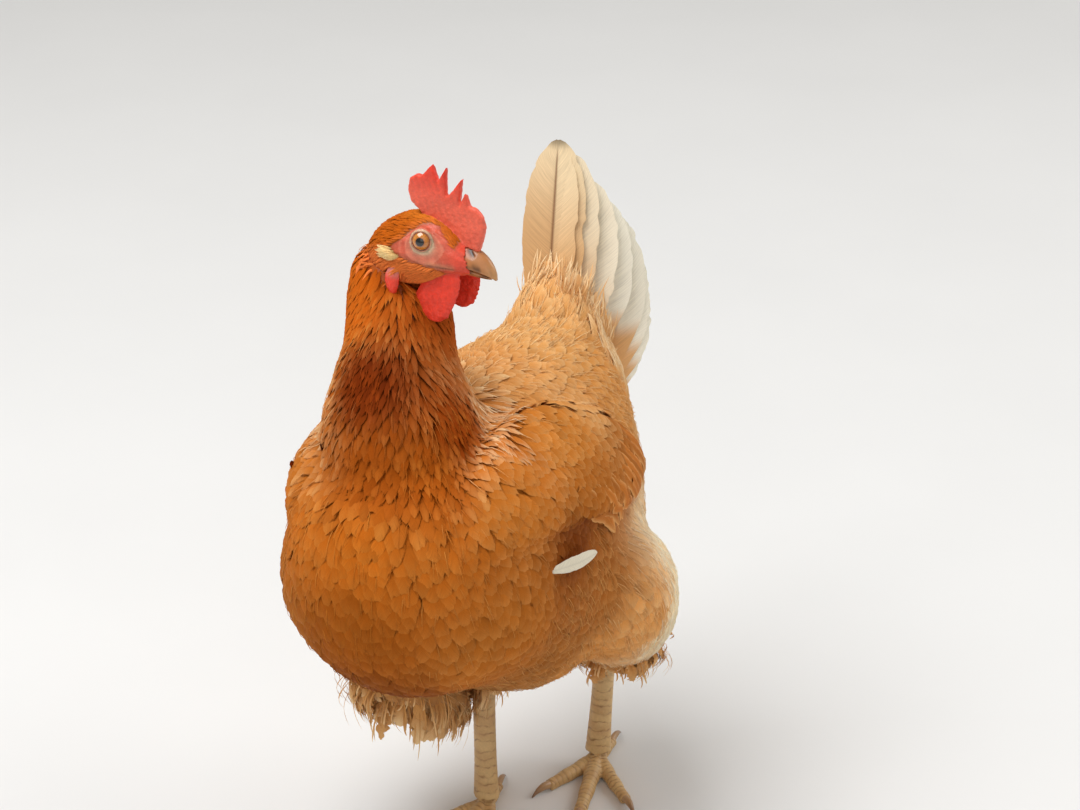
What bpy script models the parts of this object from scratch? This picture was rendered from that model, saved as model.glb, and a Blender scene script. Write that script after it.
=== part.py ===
"""A life-size laying hen that stands still with its head turned to its left.

Metres, +Z up.  The hen faces -Y and +X is its left side.  It stands on Z = 0 with its right foot in front.
Lengths below are in millimetres and become metres through MM.  Each named object is one solid of the outer,
feathered shape.  Soft masses are lofts through a few sections; neighbours are cut back from each other by GAP.
"""
import math

import bmesh
import bpy
from mathutils import Euler, Matrix, Vector

MM = 0.001
GAP = 0.35              # clearance between neighbouring solids
FEATHER_TIP = 0.9       # least half thickness of a feather edge

# Head frame: origin between the eyes, X along the beak, Y to the hen's left, Z up.
HEAD_AT = (1, -50, 380)
HEAD_YAW = 81           # degrees to the left of straight ahead
HEAD_PITCH = 3          # degrees of beak dip

EYE_RADIUS = 5.8
EYE_AT = (-0.8, 9.8, -0.6)

# Beak sections: distance along the beak axis, height of the cutting edge, half width, reach beyond that edge.
BEAK_UPPER = [(18, -9.6, 7.4, 8), (25, -9.9, 6.4, 7.6), (30.5, -11, 4.6, 6.2), (34.4, -12.6, 2.6, 3.6),
              (36, -14, 1.1, 1.2)]
BEAK_LOWER = [(17, -11.6, 6.8, 4.6), (24, -11.8, 5.4, 3.8), (30, -13, 3.2, 2.4), (33, -13.8, 1.6, 1.2)]
BEAK_UPPER_INNER = 0.2  # depth of the mouth side of each half, as a share of its outer side
BEAK_LOWER_INNER = 0.3

# Wattle and earlobe of the left side, from the root down: x, y, z in the head frame, half length.
WATTLE = [(14, 6.5, -14, 4), (12.5, 7.5, -17, 8), (9, 9, -24, 11.5), (7, 10, -31, 11.6), (7, 10.5, -37, 9),
          (7.5, 10.5, -40.5, 4)]
WATTLE_HALF = 1.7
EARLOBE = [(-14, 14.5, -17, 2.4), (-14.5, 15.6, -21, 4), (-14.5, 16, -26, 3.8), (-14, 15.6, -31, 1.6)]
EARLOBE_HALF = 2

# Trunk sections: y, height of the widest place, half width, rise above it, depth below it.
TRUNK = [
    (-141, 212, 14, 17, 18),
    (-134, 210, 35, 41, 37),
    (-116, 205, 58, 69, 53),
    (-84, 200, 72, 88, 60),
    (-44, 193, 76, 101, 76),
    (0, 186, 76, 104, 98),
    (42, 177, 70, 111, 94),
    (76, 172, 60, 112, 84),
    (102, 178, 46, 100, 64),
    (120, 190, 30, 76, 39),
    (129, 204, 16, 44, 22),
]

# Neck sections from the shoulders up: centre, half width, half depth.
NECK = [
    ((-4, -66, 215), 44, 44),
    ((-5, -71, 247), 46, 47),
    ((-9.6, -72, 280), 42, 43),
    ((-16.2, -60, 309), 32.2, 35),
    ((-22, -47, 334), 26.4, 27),
    ((-27, -44, 350), 24.2, 24),
    ((-20, -48, 363), 14.5, 14),
]
NECK_SPLIT = 300        # height where the upper neck meets the lower neck

# Head sections: distance along the beak axis, centre height, half width, rise, depth.
HEAD = [
    (-33, -17, 8, 6, 9),
    (-29, -13, 12.5, 9.5, 17),
    (-20, -10, 16, 13.5, 20),
    (-9, -8, 17, 15.5, 20),
    (2, -7.5, 15.8, 15, 16.5),
    (11, -8.5, 12.5, 12, 10.5),
    (19, -9, 9, 7.5, 7.5),
    (24, -9.5, 6.8, 5, 6),
]

# Comb outline in the head's XZ plane, from the back of its base round the points to the front.
COMB = [
    (-4, 5), (-9.4, 9), (-14.9, 12.2), (-17.2, 18.2), (-16.2, 24), (-12.8, 27), (-9.2, 27.2),
    (-3.6, 34.4), (0.2, 26.4), (4.5, 35.2), (5.2, 20), (9.6, 25), (14.2, 32.2), (12.8, 16.6),
    (16.3, 25.2), (19, 19), (22.6, 19), (26.6, 15.6), (28.4, 10.4), (27.4, 4.6), (25.4, -2.4),
    (20, -4.5), (8, 2),
]
COMB_HALF = 1.5
COMB_ROUND = 0.8

# Soft mound over the root of the tail: path with half width and half depth.
TAIL_COVERTS = [(-1, 74, 240, 42, 44), (-3, 86, 260, 32, 36), (-6, 97, 277, 23, 27), (-11, 106, 291, 14.5, 18),
                (-15, 112, 302, 7, 9)]

# Tail fan: where the feather tips lie in each half, from the central pair outwards and down.
TAIL_ROOT = Vector((-3, 84, 250))
TAIL_TIPS = {
    "left": [(-22, 133, 359), (-8, 135, 349), (-1, 137, 333), (5, 139, 312), (17, 141, 286), (24, 138, 259),
             (25, 130, 236)],
    "right": [(-22, 133, 359), (-26, 137, 346), (-33, 141, 331), (-40, 146, 311), (-40, 150, 286),
              (-39, 148, 261), (-38, 143, 238)],
}
TAIL_FEATHERS = 6       # scallops in each half of the fan
MIDLINE = 1.1           # from the middle of the tail to the central edge of each half
TAIL_NOTCH = 0.035      # depth of the notch between tips, as a share of the length
TAIL_BOW = 9            # outward bow of the lowest feathers

# Legs: middle of the foot, hock, turn of the middle toe in degrees, path of the feathered thigh with radii.
SHANK_FOOT = 10         # height of the shank's lower end
LEGS = {
    "left": {
        "ankle": (30, 80), "hock": (29, 94, 92), "toe_turn": 14,
        "thigh": [((34, -14, 184), 20), ((46, 2, 174), 35), ((52, 28, 158), 40), ((49, 54, 134), 40),
                  ((44, 73, 108), 32), ((37, 82, 89), 25), ((32, 86, 74), 16), ((30, 87, 62), 9)],
    },
    "right": {
        "ankle": (-7, 11), "hock": (-15, 24, 88), "toe_turn": -3,
        "thigh": [((-38, -52, 184), 20), ((-50, -42, 170), 35), ((-54, -26, 148), 40), ((-50, -14, 122), 38),
                  ((-43, -6, 98), 33), ((-36, 0, 81), 27), ((-27, 7, 68), 19), ((-19, 12, 58), 9.5)],
    },
}
SHANK_RADII = [(7.4, 6.6), (6.5, 6.2), (6.1, 6.6), (6.2, 7.4), (7.4, 8.2)]
SCUTES = 7              # rings of scales down a shank
SCUTE_GROOVE = 0.965    # girth in the grooves between them, as a share
# Toes: turn outwards from the middle toe in degrees, length without the claw, radius and lift at the root.
TOES = {
    "middle": (0, 52, 5.4, 0.8),
    "inner": (-36, 38, 5.0, 0.8),
    "outer": (33, 42, 4.8, 0.8),
    "hind": (168, 22, 4.2, 2.4),
}
TOE_ON_FLOOR = 0.3      # share of a toe's length where its sole reaches the floor
TOE_TAPER = 0.34        # loss of girth from a toe's root to its claw
TOE_FLAT = 0.86         # height of a toe's middle over its sole, as a share of its radius
CLAW_LENGTH = 13
# Claw sections: distance along it as a share, height of its middle, half width and half depth as shares.
CLAW = [(-0.15, 3.4, 1, 1), (0.35, 3.9, 0.85, 0.9), (0.72, 2.8, 0.5, 0.6), (1, 0.8, 0.2, 0.26)]

# Wing path along the trunk's side: y, angle up from the widest line in degrees, half height, half thickness.
WING = [
    (-112, 34, 7, 4),
    (-98, 40, 18, 7),
    (-76, 43, 27, 9),
    (-42, 43, 35, 10),
    (-6, 38, 35, 9.5),
    (26, 31, 28, 8),
    (52, 25, 17, 6.5),
    (72, 20, 7, 4),
]
WING_LIFT = 1.5         # from the trunk's surface out to the middle of the wing
WING_CUTS = (-52, 14)   # y where the shoulder meets the coverts, and the coverts the quills

COLOURS = {
    "rust": ((0.42, 0.15, 0.035), 0.75),
    "tan": ((0.62, 0.33, 0.13), 0.75),
    "cream": ((0.78, 0.66, 0.48), 0.7),
    "red_flesh": ((0.65, 0.07, 0.05), 0.45),
    "horn": ((0.62, 0.42, 0.24), 0.4),
    "scaly": ((0.68, 0.46, 0.22), 0.5),
    "eye": ((0.55, 0.25, 0.05), 0.1),
}


def fresh_scene():
    for obj in list(bpy.data.objects):
        bpy.data.objects.remove(obj, do_unlink=True)
    for name in ("hen", "helpers"):
        bpy.context.scene.collection.children.link(bpy.data.collections.new(name))


def material(name):
    made = bpy.data.materials.get(name)
    if made is None:
        colour, roughness = COLOURS[name]
        made = bpy.data.materials.new(name)
        made.use_nodes = True
        shader = made.node_tree.nodes["Principled BSDF"]
        shader.inputs["Base Color"].default_value = (*colour, 1)
        shader.inputs["Roughness"].default_value = roughness
        shader.inputs["Metallic"].default_value = 0
    return made


def smooth_path(stations, count):
    """count samples of a Catmull-Rom curve through equal-length tuples of numbers, ends included."""
    rows = [Vector(s) for s in stations]
    made = []
    for i in range(count):
        t = i / (count - 1) * (len(rows) - 1)
        k = min(int(t), len(rows) - 2)
        t -= k
        a, b, c, d = (rows[min(max(k + j, 0), len(rows) - 1)] for j in (-1, 0, 1, 2))
        made.append(0.5 * (2 * b + (c - a) * t + (2 * a - 5 * b + 4 * c - d) * t ** 2
                           + (3 * b - a - 3 * c + d) * t ** 3))
    return made


def oval(centre, side, up, half_width, rise, depth, sides, floor=None):
    """Points of an egg-shaped section.  On a floor it is turned half a step, so its lowest side is flat."""
    points = []
    for i in range(sides):
        angle = 2 * math.pi * (i + (0 if floor is None else 0.5)) / sides
        height = math.sin(angle) * (rise if math.sin(angle) > 0 else depth)
        point = centre + side * (half_width * math.cos(angle)) + up * height
        if floor is not None:
            point.z = max(point.z, floor)
        points.append(point)
    return points


def mesh_object(name, bm, colour, collection="hen"):
    bmesh.ops.recalc_face_normals(bm, faces=bm.faces)
    bmesh.ops.triangulate(bm, faces=bm.faces)
    mesh = bpy.data.meshes.new(name)
    bm.to_mesh(mesh)
    bm.free()
    mesh.shade_smooth()
    mesh.materials.append(material(colour))
    obj = bpy.data.objects.new(name, mesh)
    bpy.data.collections[collection].objects.link(obj)
    return obj


def loft(name, rings, colour, collection="hen"):
    """A closed solid through rings of points in millimetres, with a rounded pole at each end."""
    bm = bmesh.new()
    loops = [[bm.verts.new(p * MM) for p in ring] for ring in rings]
    for first, second in zip(loops, loops[1:]):
        for i in range(len(first)):
            j = (i + 1) % len(first)
            bm.faces.new((first[i], first[j], second[j], second[i]))
    for loop, inner in ((loops[0], loops[1]), (loops[-1], loops[-2])):
        middle = sum((v.co for v in loop), Vector()) / len(loop)
        inside = sum((v.co for v in inner), Vector()) / len(inner)
        pole = bm.verts.new(middle + (middle - inside) * 0.25)
        for i in range(len(loop)):
            bm.faces.new((loop[i], loop[(i + 1) % len(loop)], pole))
    return mesh_object(name, bm, colour, collection)


def tube_rings(stations, count, sides, side_hint, floor=None):
    """Rings square to a path of (x, y, z, half width, half depth); side_hint sets the width's direction."""
    rows = smooth_path(stations, count)
    rings = []
    for i, row in enumerate(rows):
        before, after = rows[max(i - 1, 0)], rows[min(i + 1, count - 1)]
        along = (Vector(after[:3]) - Vector(before[:3])).normalized()
        up = along.cross(side_hint).normalized()
        side = up.cross(along).normalized()
        rings.append(oval(Vector(row[:3]), side, up, row[3], row[4], row[4], sides, floor))
    return rings


def settle(obj):
    """Bakes an object's transform and modifiers into its mesh."""
    bpy.context.view_layer.update()
    graph = bpy.context.evaluated_depsgraph_get()
    mesh = bpy.data.meshes.new_from_object(obj.evaluated_get(graph))
    mesh.transform(obj.matrix_world)
    old = obj.data
    if obj.type == "CURVE":
        made = bpy.data.objects.new(obj.name, mesh)
        name, collections = obj.name, list(obj.users_collection)
        bpy.data.objects.remove(obj)
        for collection in collections:
            collection.objects.link(made)
        made.name = name
        return made
    obj.modifiers.clear()
    obj.parent = None
    obj.matrix_world = Matrix.Identity(4)
    obj.data = mesh
    bpy.data.meshes.remove(old)
    return obj


def hidden_copy(obj):
    """A copy of a settled object as it is now, kept out of the model."""
    copy = bpy.data.objects.new(obj.name + "_cutter", obj.data.copy())
    bpy.data.collections["helpers"].objects.link(copy)
    copy.display_type = "WIRE"
    copy.hide_render = True
    return copy


def cut_back(obj, *neighbours):
    """Cuts obj clear of its neighbours by GAP and keeps only the largest piece that is left."""
    for neighbour in neighbours:
        cutter = hidden_copy(neighbour)
        swell = cutter.modifiers.new("swell", "DISPLACE")
        swell.mid_level = 0
        swell.strength = GAP * MM
        boolean(obj, cutter, "DIFFERENCE")
    return keep_largest(settle(obj))


def boolean(obj, tool, operation):
    modifier = obj.modifiers.new(operation.lower(), "BOOLEAN")
    modifier.operation = operation
    modifier.solver = "EXACT"
    modifier.object = tool


def keep_largest(obj):
    """Removes the crumbs that a cut can leave beside the main piece."""
    bm = bmesh.new()
    bm.from_mesh(obj.data)
    islands, seen = [], set()
    for vert in bm.verts:
        if vert in seen:
            continue
        island, queue = [], [vert]
        seen.add(vert)
        while queue:
            found = queue.pop()
            island.append(found)
            for edge in found.link_edges:
                other = edge.other_vert(found)
                if other not in seen:
                    seen.add(other)
                    queue.append(other)
        islands.append(island)
    islands.sort(key=len)
    for crumbs in islands[:-1]:
        bmesh.ops.delete(bm, geom=crumbs, context="VERTS")
    bm.to_mesh(obj.data)
    bm.free()
    return obj


def slab(name, low, high):
    """A hidden box between two corners in millimetres, used to part one solid into lengths."""
    bm = bmesh.new()
    bmesh.ops.create_cube(bm, size=1)
    low, high = Vector(low) * MM, Vector(high) * MM
    for vert in bm.verts:
        vert.co = Vector(((low[i] + high[i]) / 2 + vert.co[i] * (high[i] - low[i]) for i in range(3)))
    box = mesh_object(name, bm, "tan", "helpers")
    box.display_type = "WIRE"
    box.hide_render = True
    return box


def part_off(obj, axis, places, names):
    """Splits a settled object at places along an axis, with a GAP between the lengths."""
    far = 1000
    bounds = [-far, *places, far]
    made = []
    for i, name in enumerate(names):
        low, high = [-far] * 3, [far] * 3
        low[axis] = bounds[i] + (GAP / 2 if i else 0)
        high[axis] = bounds[i + 1] - (GAP / 2 if i < len(places) else 0)
        piece = bpy.data.objects.new(name, obj.data.copy())
        bpy.data.collections["hen"].objects.link(piece)
        boolean(piece, slab(name + "_slab", low, high), "INTERSECT")
        made.append(keep_largest(settle(piece)))
    bpy.data.objects.remove(obj, do_unlink=True)
    return made


def head_frame():
    dip = math.radians(HEAD_PITCH)
    turn = math.radians(HEAD_YAW - 90)
    return Matrix.Translation(Vector(HEAD_AT) * MM) @ Euler((0, dip, turn)).to_matrix().to_4x4()


def in_head(obj, at=(0, 0, 0)):
    """Places an object that was made in the head's own frame."""
    obj.matrix_world = head_frame() @ Matrix.Translation(Vector(at) * MM)
    return settle(obj)


def trunk_section(y):
    """Centre height, half width, rise and depth of the trunk at y, between its stations."""
    for first, second in zip(TRUNK, TRUNK[1:]):
        if y <= second[0] or second is TRUNK[-1]:
            t = (y - first[0]) / (second[0] - first[0])
            t = min(max(t, 0), 1)
            return [a + (b - a) * t for a, b in zip(first[1:], second[1:])]


def make_trunk():
    rings = []
    for y, height, half_width, rise, depth in smooth_path(TRUNK, 19):
        rings.append(oval(Vector((0, y, height)), Vector((1, 0, 0)), Vector((0, 0, 1)),
                          half_width, rise, depth, 22))
    return settle(loft("trunk", rings, "tan"))


def make_neck():
    stations = [(*centre, width, depth) for centre, width, depth in NECK]
    return settle(loft("neck", tube_rings(stations, 9, 16, Vector((1, 0, 0))), "rust"))


def make_head():
    rings = []
    for x, height, half_width, rise, depth in smooth_path(HEAD, 11):
        rings.append(oval(Vector((x, 0, height)), Vector((0, 1, 0)), Vector((0, 0, 1)),
                          half_width, rise, depth, 14))
    return in_head(loft("head", rings, "rust"))


def make_beaks():
    """The two halves of the closed beak."""
    made = []
    for name, stations, inner in (("beak_upper", BEAK_UPPER, BEAK_UPPER_INNER),
                                  ("beak_lower", BEAK_LOWER, BEAK_LOWER_INNER)):
        rings = []
        for x, height, half_width, outer in smooth_path(stations, 6):
            rise, depth = (outer, outer * inner) if name == "beak_upper" else (outer * inner, outer)
            rings.append(oval(Vector((x, 0, height)), Vector((0, 1, 0)), Vector((0, 0, 1)),
                              half_width, rise, depth, 10))
        made.append(in_head(loft(name, rings, "horn")))
    upper, lower = made
    return upper, cut_back(lower, upper)


def make_comb():
    curve = bpy.data.curves.new("comb", "CURVE")
    curve.dimensions = "2D"
    curve.fill_mode = "BOTH"
    curve.extrude = (COMB_HALF - COMB_ROUND) * MM
    curve.bevel_depth = COMB_ROUND * MM
    curve.bevel_resolution = 1
    curve.offset = -COMB_ROUND * MM
    spline = curve.splines.new("POLY")
    spline.points.add(len(COMB) - 1)
    for point, (x, z) in zip(spline.points, COMB):
        point.co = (x * MM, z * MM, 0, 1)
    spline.use_cyclic_u = True
    comb = bpy.data.objects.new("comb", curve)
    bpy.data.collections["hen"].objects.link(comb)
    curve.materials.append(material("red_flesh"))
    comb.matrix_world = head_frame() @ Euler((math.pi / 2, 0, 0)).to_matrix().to_4x4()
    comb = settle(comb)
    bm = bmesh.new()
    bm.from_mesh(comb.data)
    bmesh.ops.remove_doubles(bm, verts=bm.verts, dist=0.01 * MM)
    bmesh.ops.recalc_face_normals(bm, faces=bm.faces)
    bm.to_mesh(comb.data)
    bm.free()
    return comb


def make_lobe(name, stations, sign, thickness):
    """A wattle or an earlobe: a flat drop that hangs from its root."""
    rings = []
    for x, y, z, half in smooth_path(stations, 6):
        rings.append(oval(Vector((x, y * sign, z)), Vector((1, 0, 0)), Vector((0, 1, 0)),
                          half, min(thickness, half), min(thickness, half), 8))
    return in_head(loft(name, rings, "red_flesh"))


def make_face(head):
    """Eyes, wattles and earlobes of both sides."""
    made = []
    for side, sign in (("left", 1), ("right", -1)):
        bm = bmesh.new()
        bmesh.ops.create_uvsphere(bm, u_segments=11, v_segments=7, radius=EYE_RADIUS * MM)
        eye = mesh_object("eye_" + side, bm, "eye")
        x, y, z = EYE_AT
        made.append(in_head(eye, (x, sign * y, z)))
        made.append(cut_back(make_lobe("wattle_" + side, WATTLE, sign, WATTLE_HALF), head))
        made.append(cut_back(make_lobe("earlobe_" + side, EARLOBE, sign, EARLOBE_HALF), head))
    return made


def make_wing(side, sign, *neighbours):
    """A lens along the trunk's side, hollowed where it lies on its neighbours, in three lengths."""
    rings = []
    for y, angle, half_height, half_thickness in smooth_path(WING, 12):
        height, half_width, rise, _ = trunk_section(y)
        turn = math.radians(angle)
        place = Vector((half_width * math.cos(turn), y, height + rise * math.sin(turn)))
        out = Vector((math.cos(turn) / half_width, 0, math.sin(turn) / rise)).normalized()
        up = Vector((-out.z, 0, out.x))
        ring = oval(place + out * WING_LIFT, out, up, half_thickness, half_height, half_height, 14)
        rings.append([Vector((p.x * sign, p.y, p.z)) for p in ring])
    wing = cut_back(settle(loft("wing_" + side, rings, "tan")), *neighbours)
    names = ["wing_%s_%s" % (side, part) for part in ("shoulder", "coverts", "quills")]
    return part_off(wing, 1, WING_CUTS, names)


def make_tail_half(side, sign):
    """Half of the tail fan as a thin sheet, its outer edge scalloped by the feather tips."""
    across, along = 3 * TAIL_FEATHERS + 1, 5
    tips = smooth_path(TAIL_TIPS[side], across)
    bm = bmesh.new()
    grid = []
    for i, tip in enumerate(tips):
        share = i / (across - 1)
        tip = tip + Vector((sign * MIDLINE, 0, 0))
        root = TAIL_ROOT + Vector((sign * (MIDLINE + 10 * share), -8 + 16 * share, 10 - 22 * share))
        notch = abs(math.cos(math.pi * share * TAIL_FEATHERS))
        reach = 1 - TAIL_NOTCH * (1 - notch)
        bow = Vector((sign * TAIL_BOW * share, 0, 0))
        row = []
        for j in range(along):
            t = j / (along - 1) * reach
            row.append(bm.verts.new((root.lerp(tip, t) + bow * math.sin(math.pi * t)) * MM))
        grid.append(row)
    for first, second in zip(grid, grid[1:]):
        for j in range(along - 1):
            bm.faces.new((first[j], first[j + 1], second[j + 1], second[j]))
    sheet = mesh_object("tail_" + side, bm, "cream")
    solid = sheet.modifiers.new("thickness", "SOLIDIFY")
    solid.thickness = 2 * FEATHER_TIP * MM
    solid.offset = 0
    return settle(sheet)


def make_tail(trunk):
    coverts = settle(loft("tail_coverts", tube_rings(TAIL_COVERTS, 7, 14, Vector((1, 0, 0))), "tan"))
    cut_back(coverts, trunk)
    left = cut_back(make_tail_half("left", 1), trunk, coverts)
    cut_back(make_tail_half("right", -1), trunk, coverts, left)


def make_shank(side, leg):
    """The bare lower leg, with shallow rings of scales down its length."""
    foot, hock = Vector((*leg["ankle"], SHANK_FOOT)), Vector(leg["hock"])
    count = 2 * SCUTES + 1
    radii = smooth_path(SHANK_RADII, count)
    toe_turn = math.radians(leg["toe_turn"])
    width_axis = Vector((math.cos(toe_turn), math.sin(toe_turn), 0))
    along = (hock - foot).normalized()
    up = along.cross(width_axis).normalized()
    rings = []
    for i, (width, depth) in enumerate(radii):
        girth = 1.0 if i % 2 else SCUTE_GROOVE
        rings.append(oval(foot.lerp(hock, i / (count - 1)), width_axis, up, width * girth, depth * girth,
                          depth * girth, 10))
    return settle(loft("shank_" + side, rings, "scaly"))


def make_foot(side, sign, leg, shank):
    """Four toes on flat pads, and their claws."""
    ankle = Vector((*leg["ankle"], 0))
    heading = math.radians(leg["toe_turn"]) - math.pi / 2
    whole_toes = []
    for toe, (spread, length, radius, rise) in TOES.items():
        turn = heading + math.radians(spread) * sign
        ahead = Vector((math.cos(turn), math.sin(turn), 0))
        width_axis = Vector((-math.sin(turn), math.cos(turn), 0))
        stations = []
        for i in range(5):
            t = i / 4
            arch = rise * max(0.0, 1 - t / TOE_ON_FLOOR)
            size = radius * (1 - TOE_TAPER * t)
            place = ankle + ahead * length * t
            stations.append((*place[:2], size * TOE_FLAT + arch, size, size))
        name = "toe_%s_%s" % (side, toe)
        body = settle(loft(name, tube_rings(stations, 5, 8, width_axis, 0.0), "scaly"))
        whole = hidden_copy(body)
        cut_back(body, shank, *whole_toes)
        whole_toes.append(whole)
        claw = []
        for along, height, half_width, half_depth in CLAW:
            place = ankle + ahead * (length + CLAW_LENGTH * along)
            claw.append((*place[:2], height, radius / 2 * half_width, radius / 2 * half_depth))
        hook = settle(loft("claw_%s_%s" % (side, toe), tube_rings(claw, 5, 6, width_axis, 0.0), "horn"))
        cut_back(hook, whole)


def make_leg(side, sign, trunk, others):
    leg = LEGS[side]
    shank = cut_back(make_shank(side, leg), trunk)
    stations = [(*centre, radius, radius) for centre, radius in leg["thigh"]]
    thigh = settle(loft("thigh_" + side, tube_rings(stations, 9, 13, Vector((1, 0, 0))), "tan"))
    cut_back(thigh, trunk, shank, *others)
    make_foot(side, sign, leg, shank)
    return thigh


def centre_on_floor():
    """Moves everything so that the model's box is centred over the origin and stands on Z = 0."""
    bpy.context.view_layer.update()
    corners = [v.co for obj in bpy.data.collections["hen"].objects for v in obj.data.vertices]
    low = Vector((min(c[i] for c in corners) for i in range(3)))
    high = Vector((max(c[i] for c in corners) for i in range(3)))
    shift = Matrix.Translation((-(low.x + high.x) / 2, -(low.y + high.y) / 2, -low.z))
    for obj in bpy.data.collections["hen"].objects:
        obj.data.transform(shift)


def main():
    fresh_scene()
    trunk = make_trunk()
    head = make_head()
    upper, lower = make_beaks()
    comb = cut_back(make_comb(), head, upper)
    face = make_face(head)
    eyes = [piece for piece in face if piece.name.startswith("eye_")]
    cut_back(head, upper, lower, *eyes)
    for wattle in (piece for piece in face if piece.name.startswith("wattle_")):
        cut_back(wattle, lower, upper)
    neck = cut_back(make_neck(), trunk, head, *(p for p in face if p.name.startswith(("earlobe", "wattle"))))
    neck_lower, _ = part_off(neck, 2, (NECK_SPLIT,), ("neck_lower", "neck_upper"))
    wings = make_wing("left", 1, trunk, neck_lower) + make_wing("right", -1, trunk, neck_lower)
    make_tail(trunk)
    left = make_leg("left", 1, trunk, wings)
    make_leg("right", -1, trunk, [*wings, left])
    centre_on_floor()


main()
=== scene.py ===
"""A brown laying hen as a still, life-size model: one skin, a coat of feathers, bill, eyes and legs."""
import itertools
import math

import bmesh
import bpy
import numpy as np
from mathutils import Euler, Matrix, Vector, noise
from mathutils.bvhtree import BVHTree


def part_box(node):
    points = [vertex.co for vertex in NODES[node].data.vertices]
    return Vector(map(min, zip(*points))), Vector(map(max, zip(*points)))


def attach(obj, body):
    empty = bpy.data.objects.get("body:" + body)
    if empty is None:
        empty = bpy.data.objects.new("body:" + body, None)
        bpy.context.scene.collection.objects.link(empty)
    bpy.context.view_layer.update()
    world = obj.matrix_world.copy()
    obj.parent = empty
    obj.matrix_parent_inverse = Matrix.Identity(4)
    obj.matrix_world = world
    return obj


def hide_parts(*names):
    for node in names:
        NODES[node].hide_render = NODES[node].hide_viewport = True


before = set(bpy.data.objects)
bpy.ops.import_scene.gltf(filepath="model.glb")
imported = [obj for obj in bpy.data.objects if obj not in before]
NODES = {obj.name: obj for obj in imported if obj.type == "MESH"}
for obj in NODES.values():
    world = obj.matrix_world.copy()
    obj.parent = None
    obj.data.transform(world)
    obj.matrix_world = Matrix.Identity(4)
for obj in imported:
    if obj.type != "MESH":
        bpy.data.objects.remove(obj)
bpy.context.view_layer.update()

MM = 0.001
rng = np.random.default_rng(11)

# The hen frame is in millimetres: X to the hen's left, Y backwards, Z up, as the CAD's own numbers are.
# The head frame has X along the beak and Y to the hen's left, with its origin between the eyes.
HEAD_AT = np.array((1.0, -50.0, 380.0))
HEAD_TURN = Euler((0, math.radians(3), math.radians(-9))).to_matrix()
EYE_AT = (-0.8, 9.8, -0.6)
EYE_RADIUS = 5.8
EYE_FORWARD = 20        # degrees that each eye looks ahead of straight sideways
EYE_UPWARD = 10         # degrees that each eye looks up
LID_OPENING = 50        # degrees from the eye's axis to the edge of the lids
COMB_RELIEF = 0.22      # height of the bumps on the comb and wattles
FACE_FOLD = 0.4         # height of the skin folds round the eye
FOLD_STEP = 9           # degrees from one fold to the next


def box_middle(node):
    low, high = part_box(node)
    return (Vector(low) + Vector(high)) / 2


EYES_MIDDLE = (box_middle("eye_left") + box_middle("eye_right")) / 2
SHIFT = EYES_MIDDLE - HEAD_TURN @ Vector((EYE_AT[0], 0, EYE_AT[2])) * MM - Vector(HEAD_AT) * MM
TURN = np.array(HEAD_TURN)
OFFSET = np.array(SHIFT)


def to_row(points):
    return np.asarray(points) * MM + OFFSET


def to_hen(points):
    return (np.asarray(points) - OFFSET) / MM


def head_to_hen(points):
    return np.asarray(points) @ TURN.T + HEAD_AT


def hen_to_head(points):
    return (np.asarray(points) - HEAD_AT) @ TURN


def linear(colour):
    """Linear light for a colour given as 0 to 255 in each channel."""
    c = np.asarray(colour, float) / 255
    return np.where(c <= 0.04045, c / 12.92, ((c + 0.055) / 1.055) ** 2.4)


def blend(first, second, share):
    """From the first to the second as share goes from 0 to 1."""
    return first * (1 - share) + second * share


def unit(v):
    return v / np.maximum(np.linalg.norm(v, axis=-1, keepdims=True), 1e-9)


def smooth(low, high, x):
    t = np.clip((x - low) / (high - low), 0, 1)
    return t * t * (3 - 2 * t)


def wave_noise(points, size, seed):
    """Smooth noise from -1 to 1 made of a few sine waves, about size across."""
    turns = np.random.default_rng(seed)
    total = np.zeros(len(points))
    for _ in range(6):
        direction = unit(turns.normal(size=3))
        waves = points @ direction * (2 * math.pi / size) * turns.uniform(0.6, 1.5)
        total += np.sin(waves + turns.uniform(0, 6.3))
    return total / 3.2


def spline(points, count):
    """count places along a smooth curve through the points."""
    p = np.asarray(points, float)
    ext = np.vstack((2 * p[0] - p[1], p, 2 * p[-1] - p[-2]))
    u = np.linspace(0, len(p) - 1, count)
    i = np.minimum(u.astype(int), len(p) - 2)
    t = (u - i)[:, None]
    a, b, c, d = ext[i], ext[i + 1], ext[i + 2], ext[i + 3]
    return 0.5 * (2 * b + (c - a) * t + (2 * a - 5 * b + 4 * c - d) * t ** 2 + (3 * b - a - 3 * c + d) * t ** 3)


# ---------------------------------------------------------------- meshes

def new_object(name, data):
    obj = bpy.data.objects.new(name, data)
    bpy.context.scene.collection.objects.link(obj)
    return obj


def mesh_of(name, points, faces, colours=None):
    """A smooth mesh object from points in the hen frame and an array or list of faces."""
    mesh = bpy.data.meshes.new(name)
    points = to_row(points)
    if isinstance(faces, np.ndarray):
        size = faces.shape[1]
        mesh.vertices.add(len(points))
        mesh.vertices.foreach_set("co", points.astype(np.float32).ravel())
        mesh.loops.add(faces.size)
        mesh.loops.foreach_set("vertex_index", faces.astype(np.int32).ravel())
        mesh.polygons.add(len(faces))
        mesh.polygons.foreach_set("loop_start", np.arange(0, faces.size, size, dtype=np.int32))
        mesh.update(calc_edges=True)
        mesh.validate()
    else:
        mesh.from_pydata([tuple(p) for p in points], [], faces)
    smooth_shaded(mesh)
    if colours is not None:
        paint(mesh, colours)
    return new_object(name, mesh)


def smooth_shaded(mesh):
    mesh.polygons.foreach_set("use_smooth", np.ones(len(mesh.polygons), bool))


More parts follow.
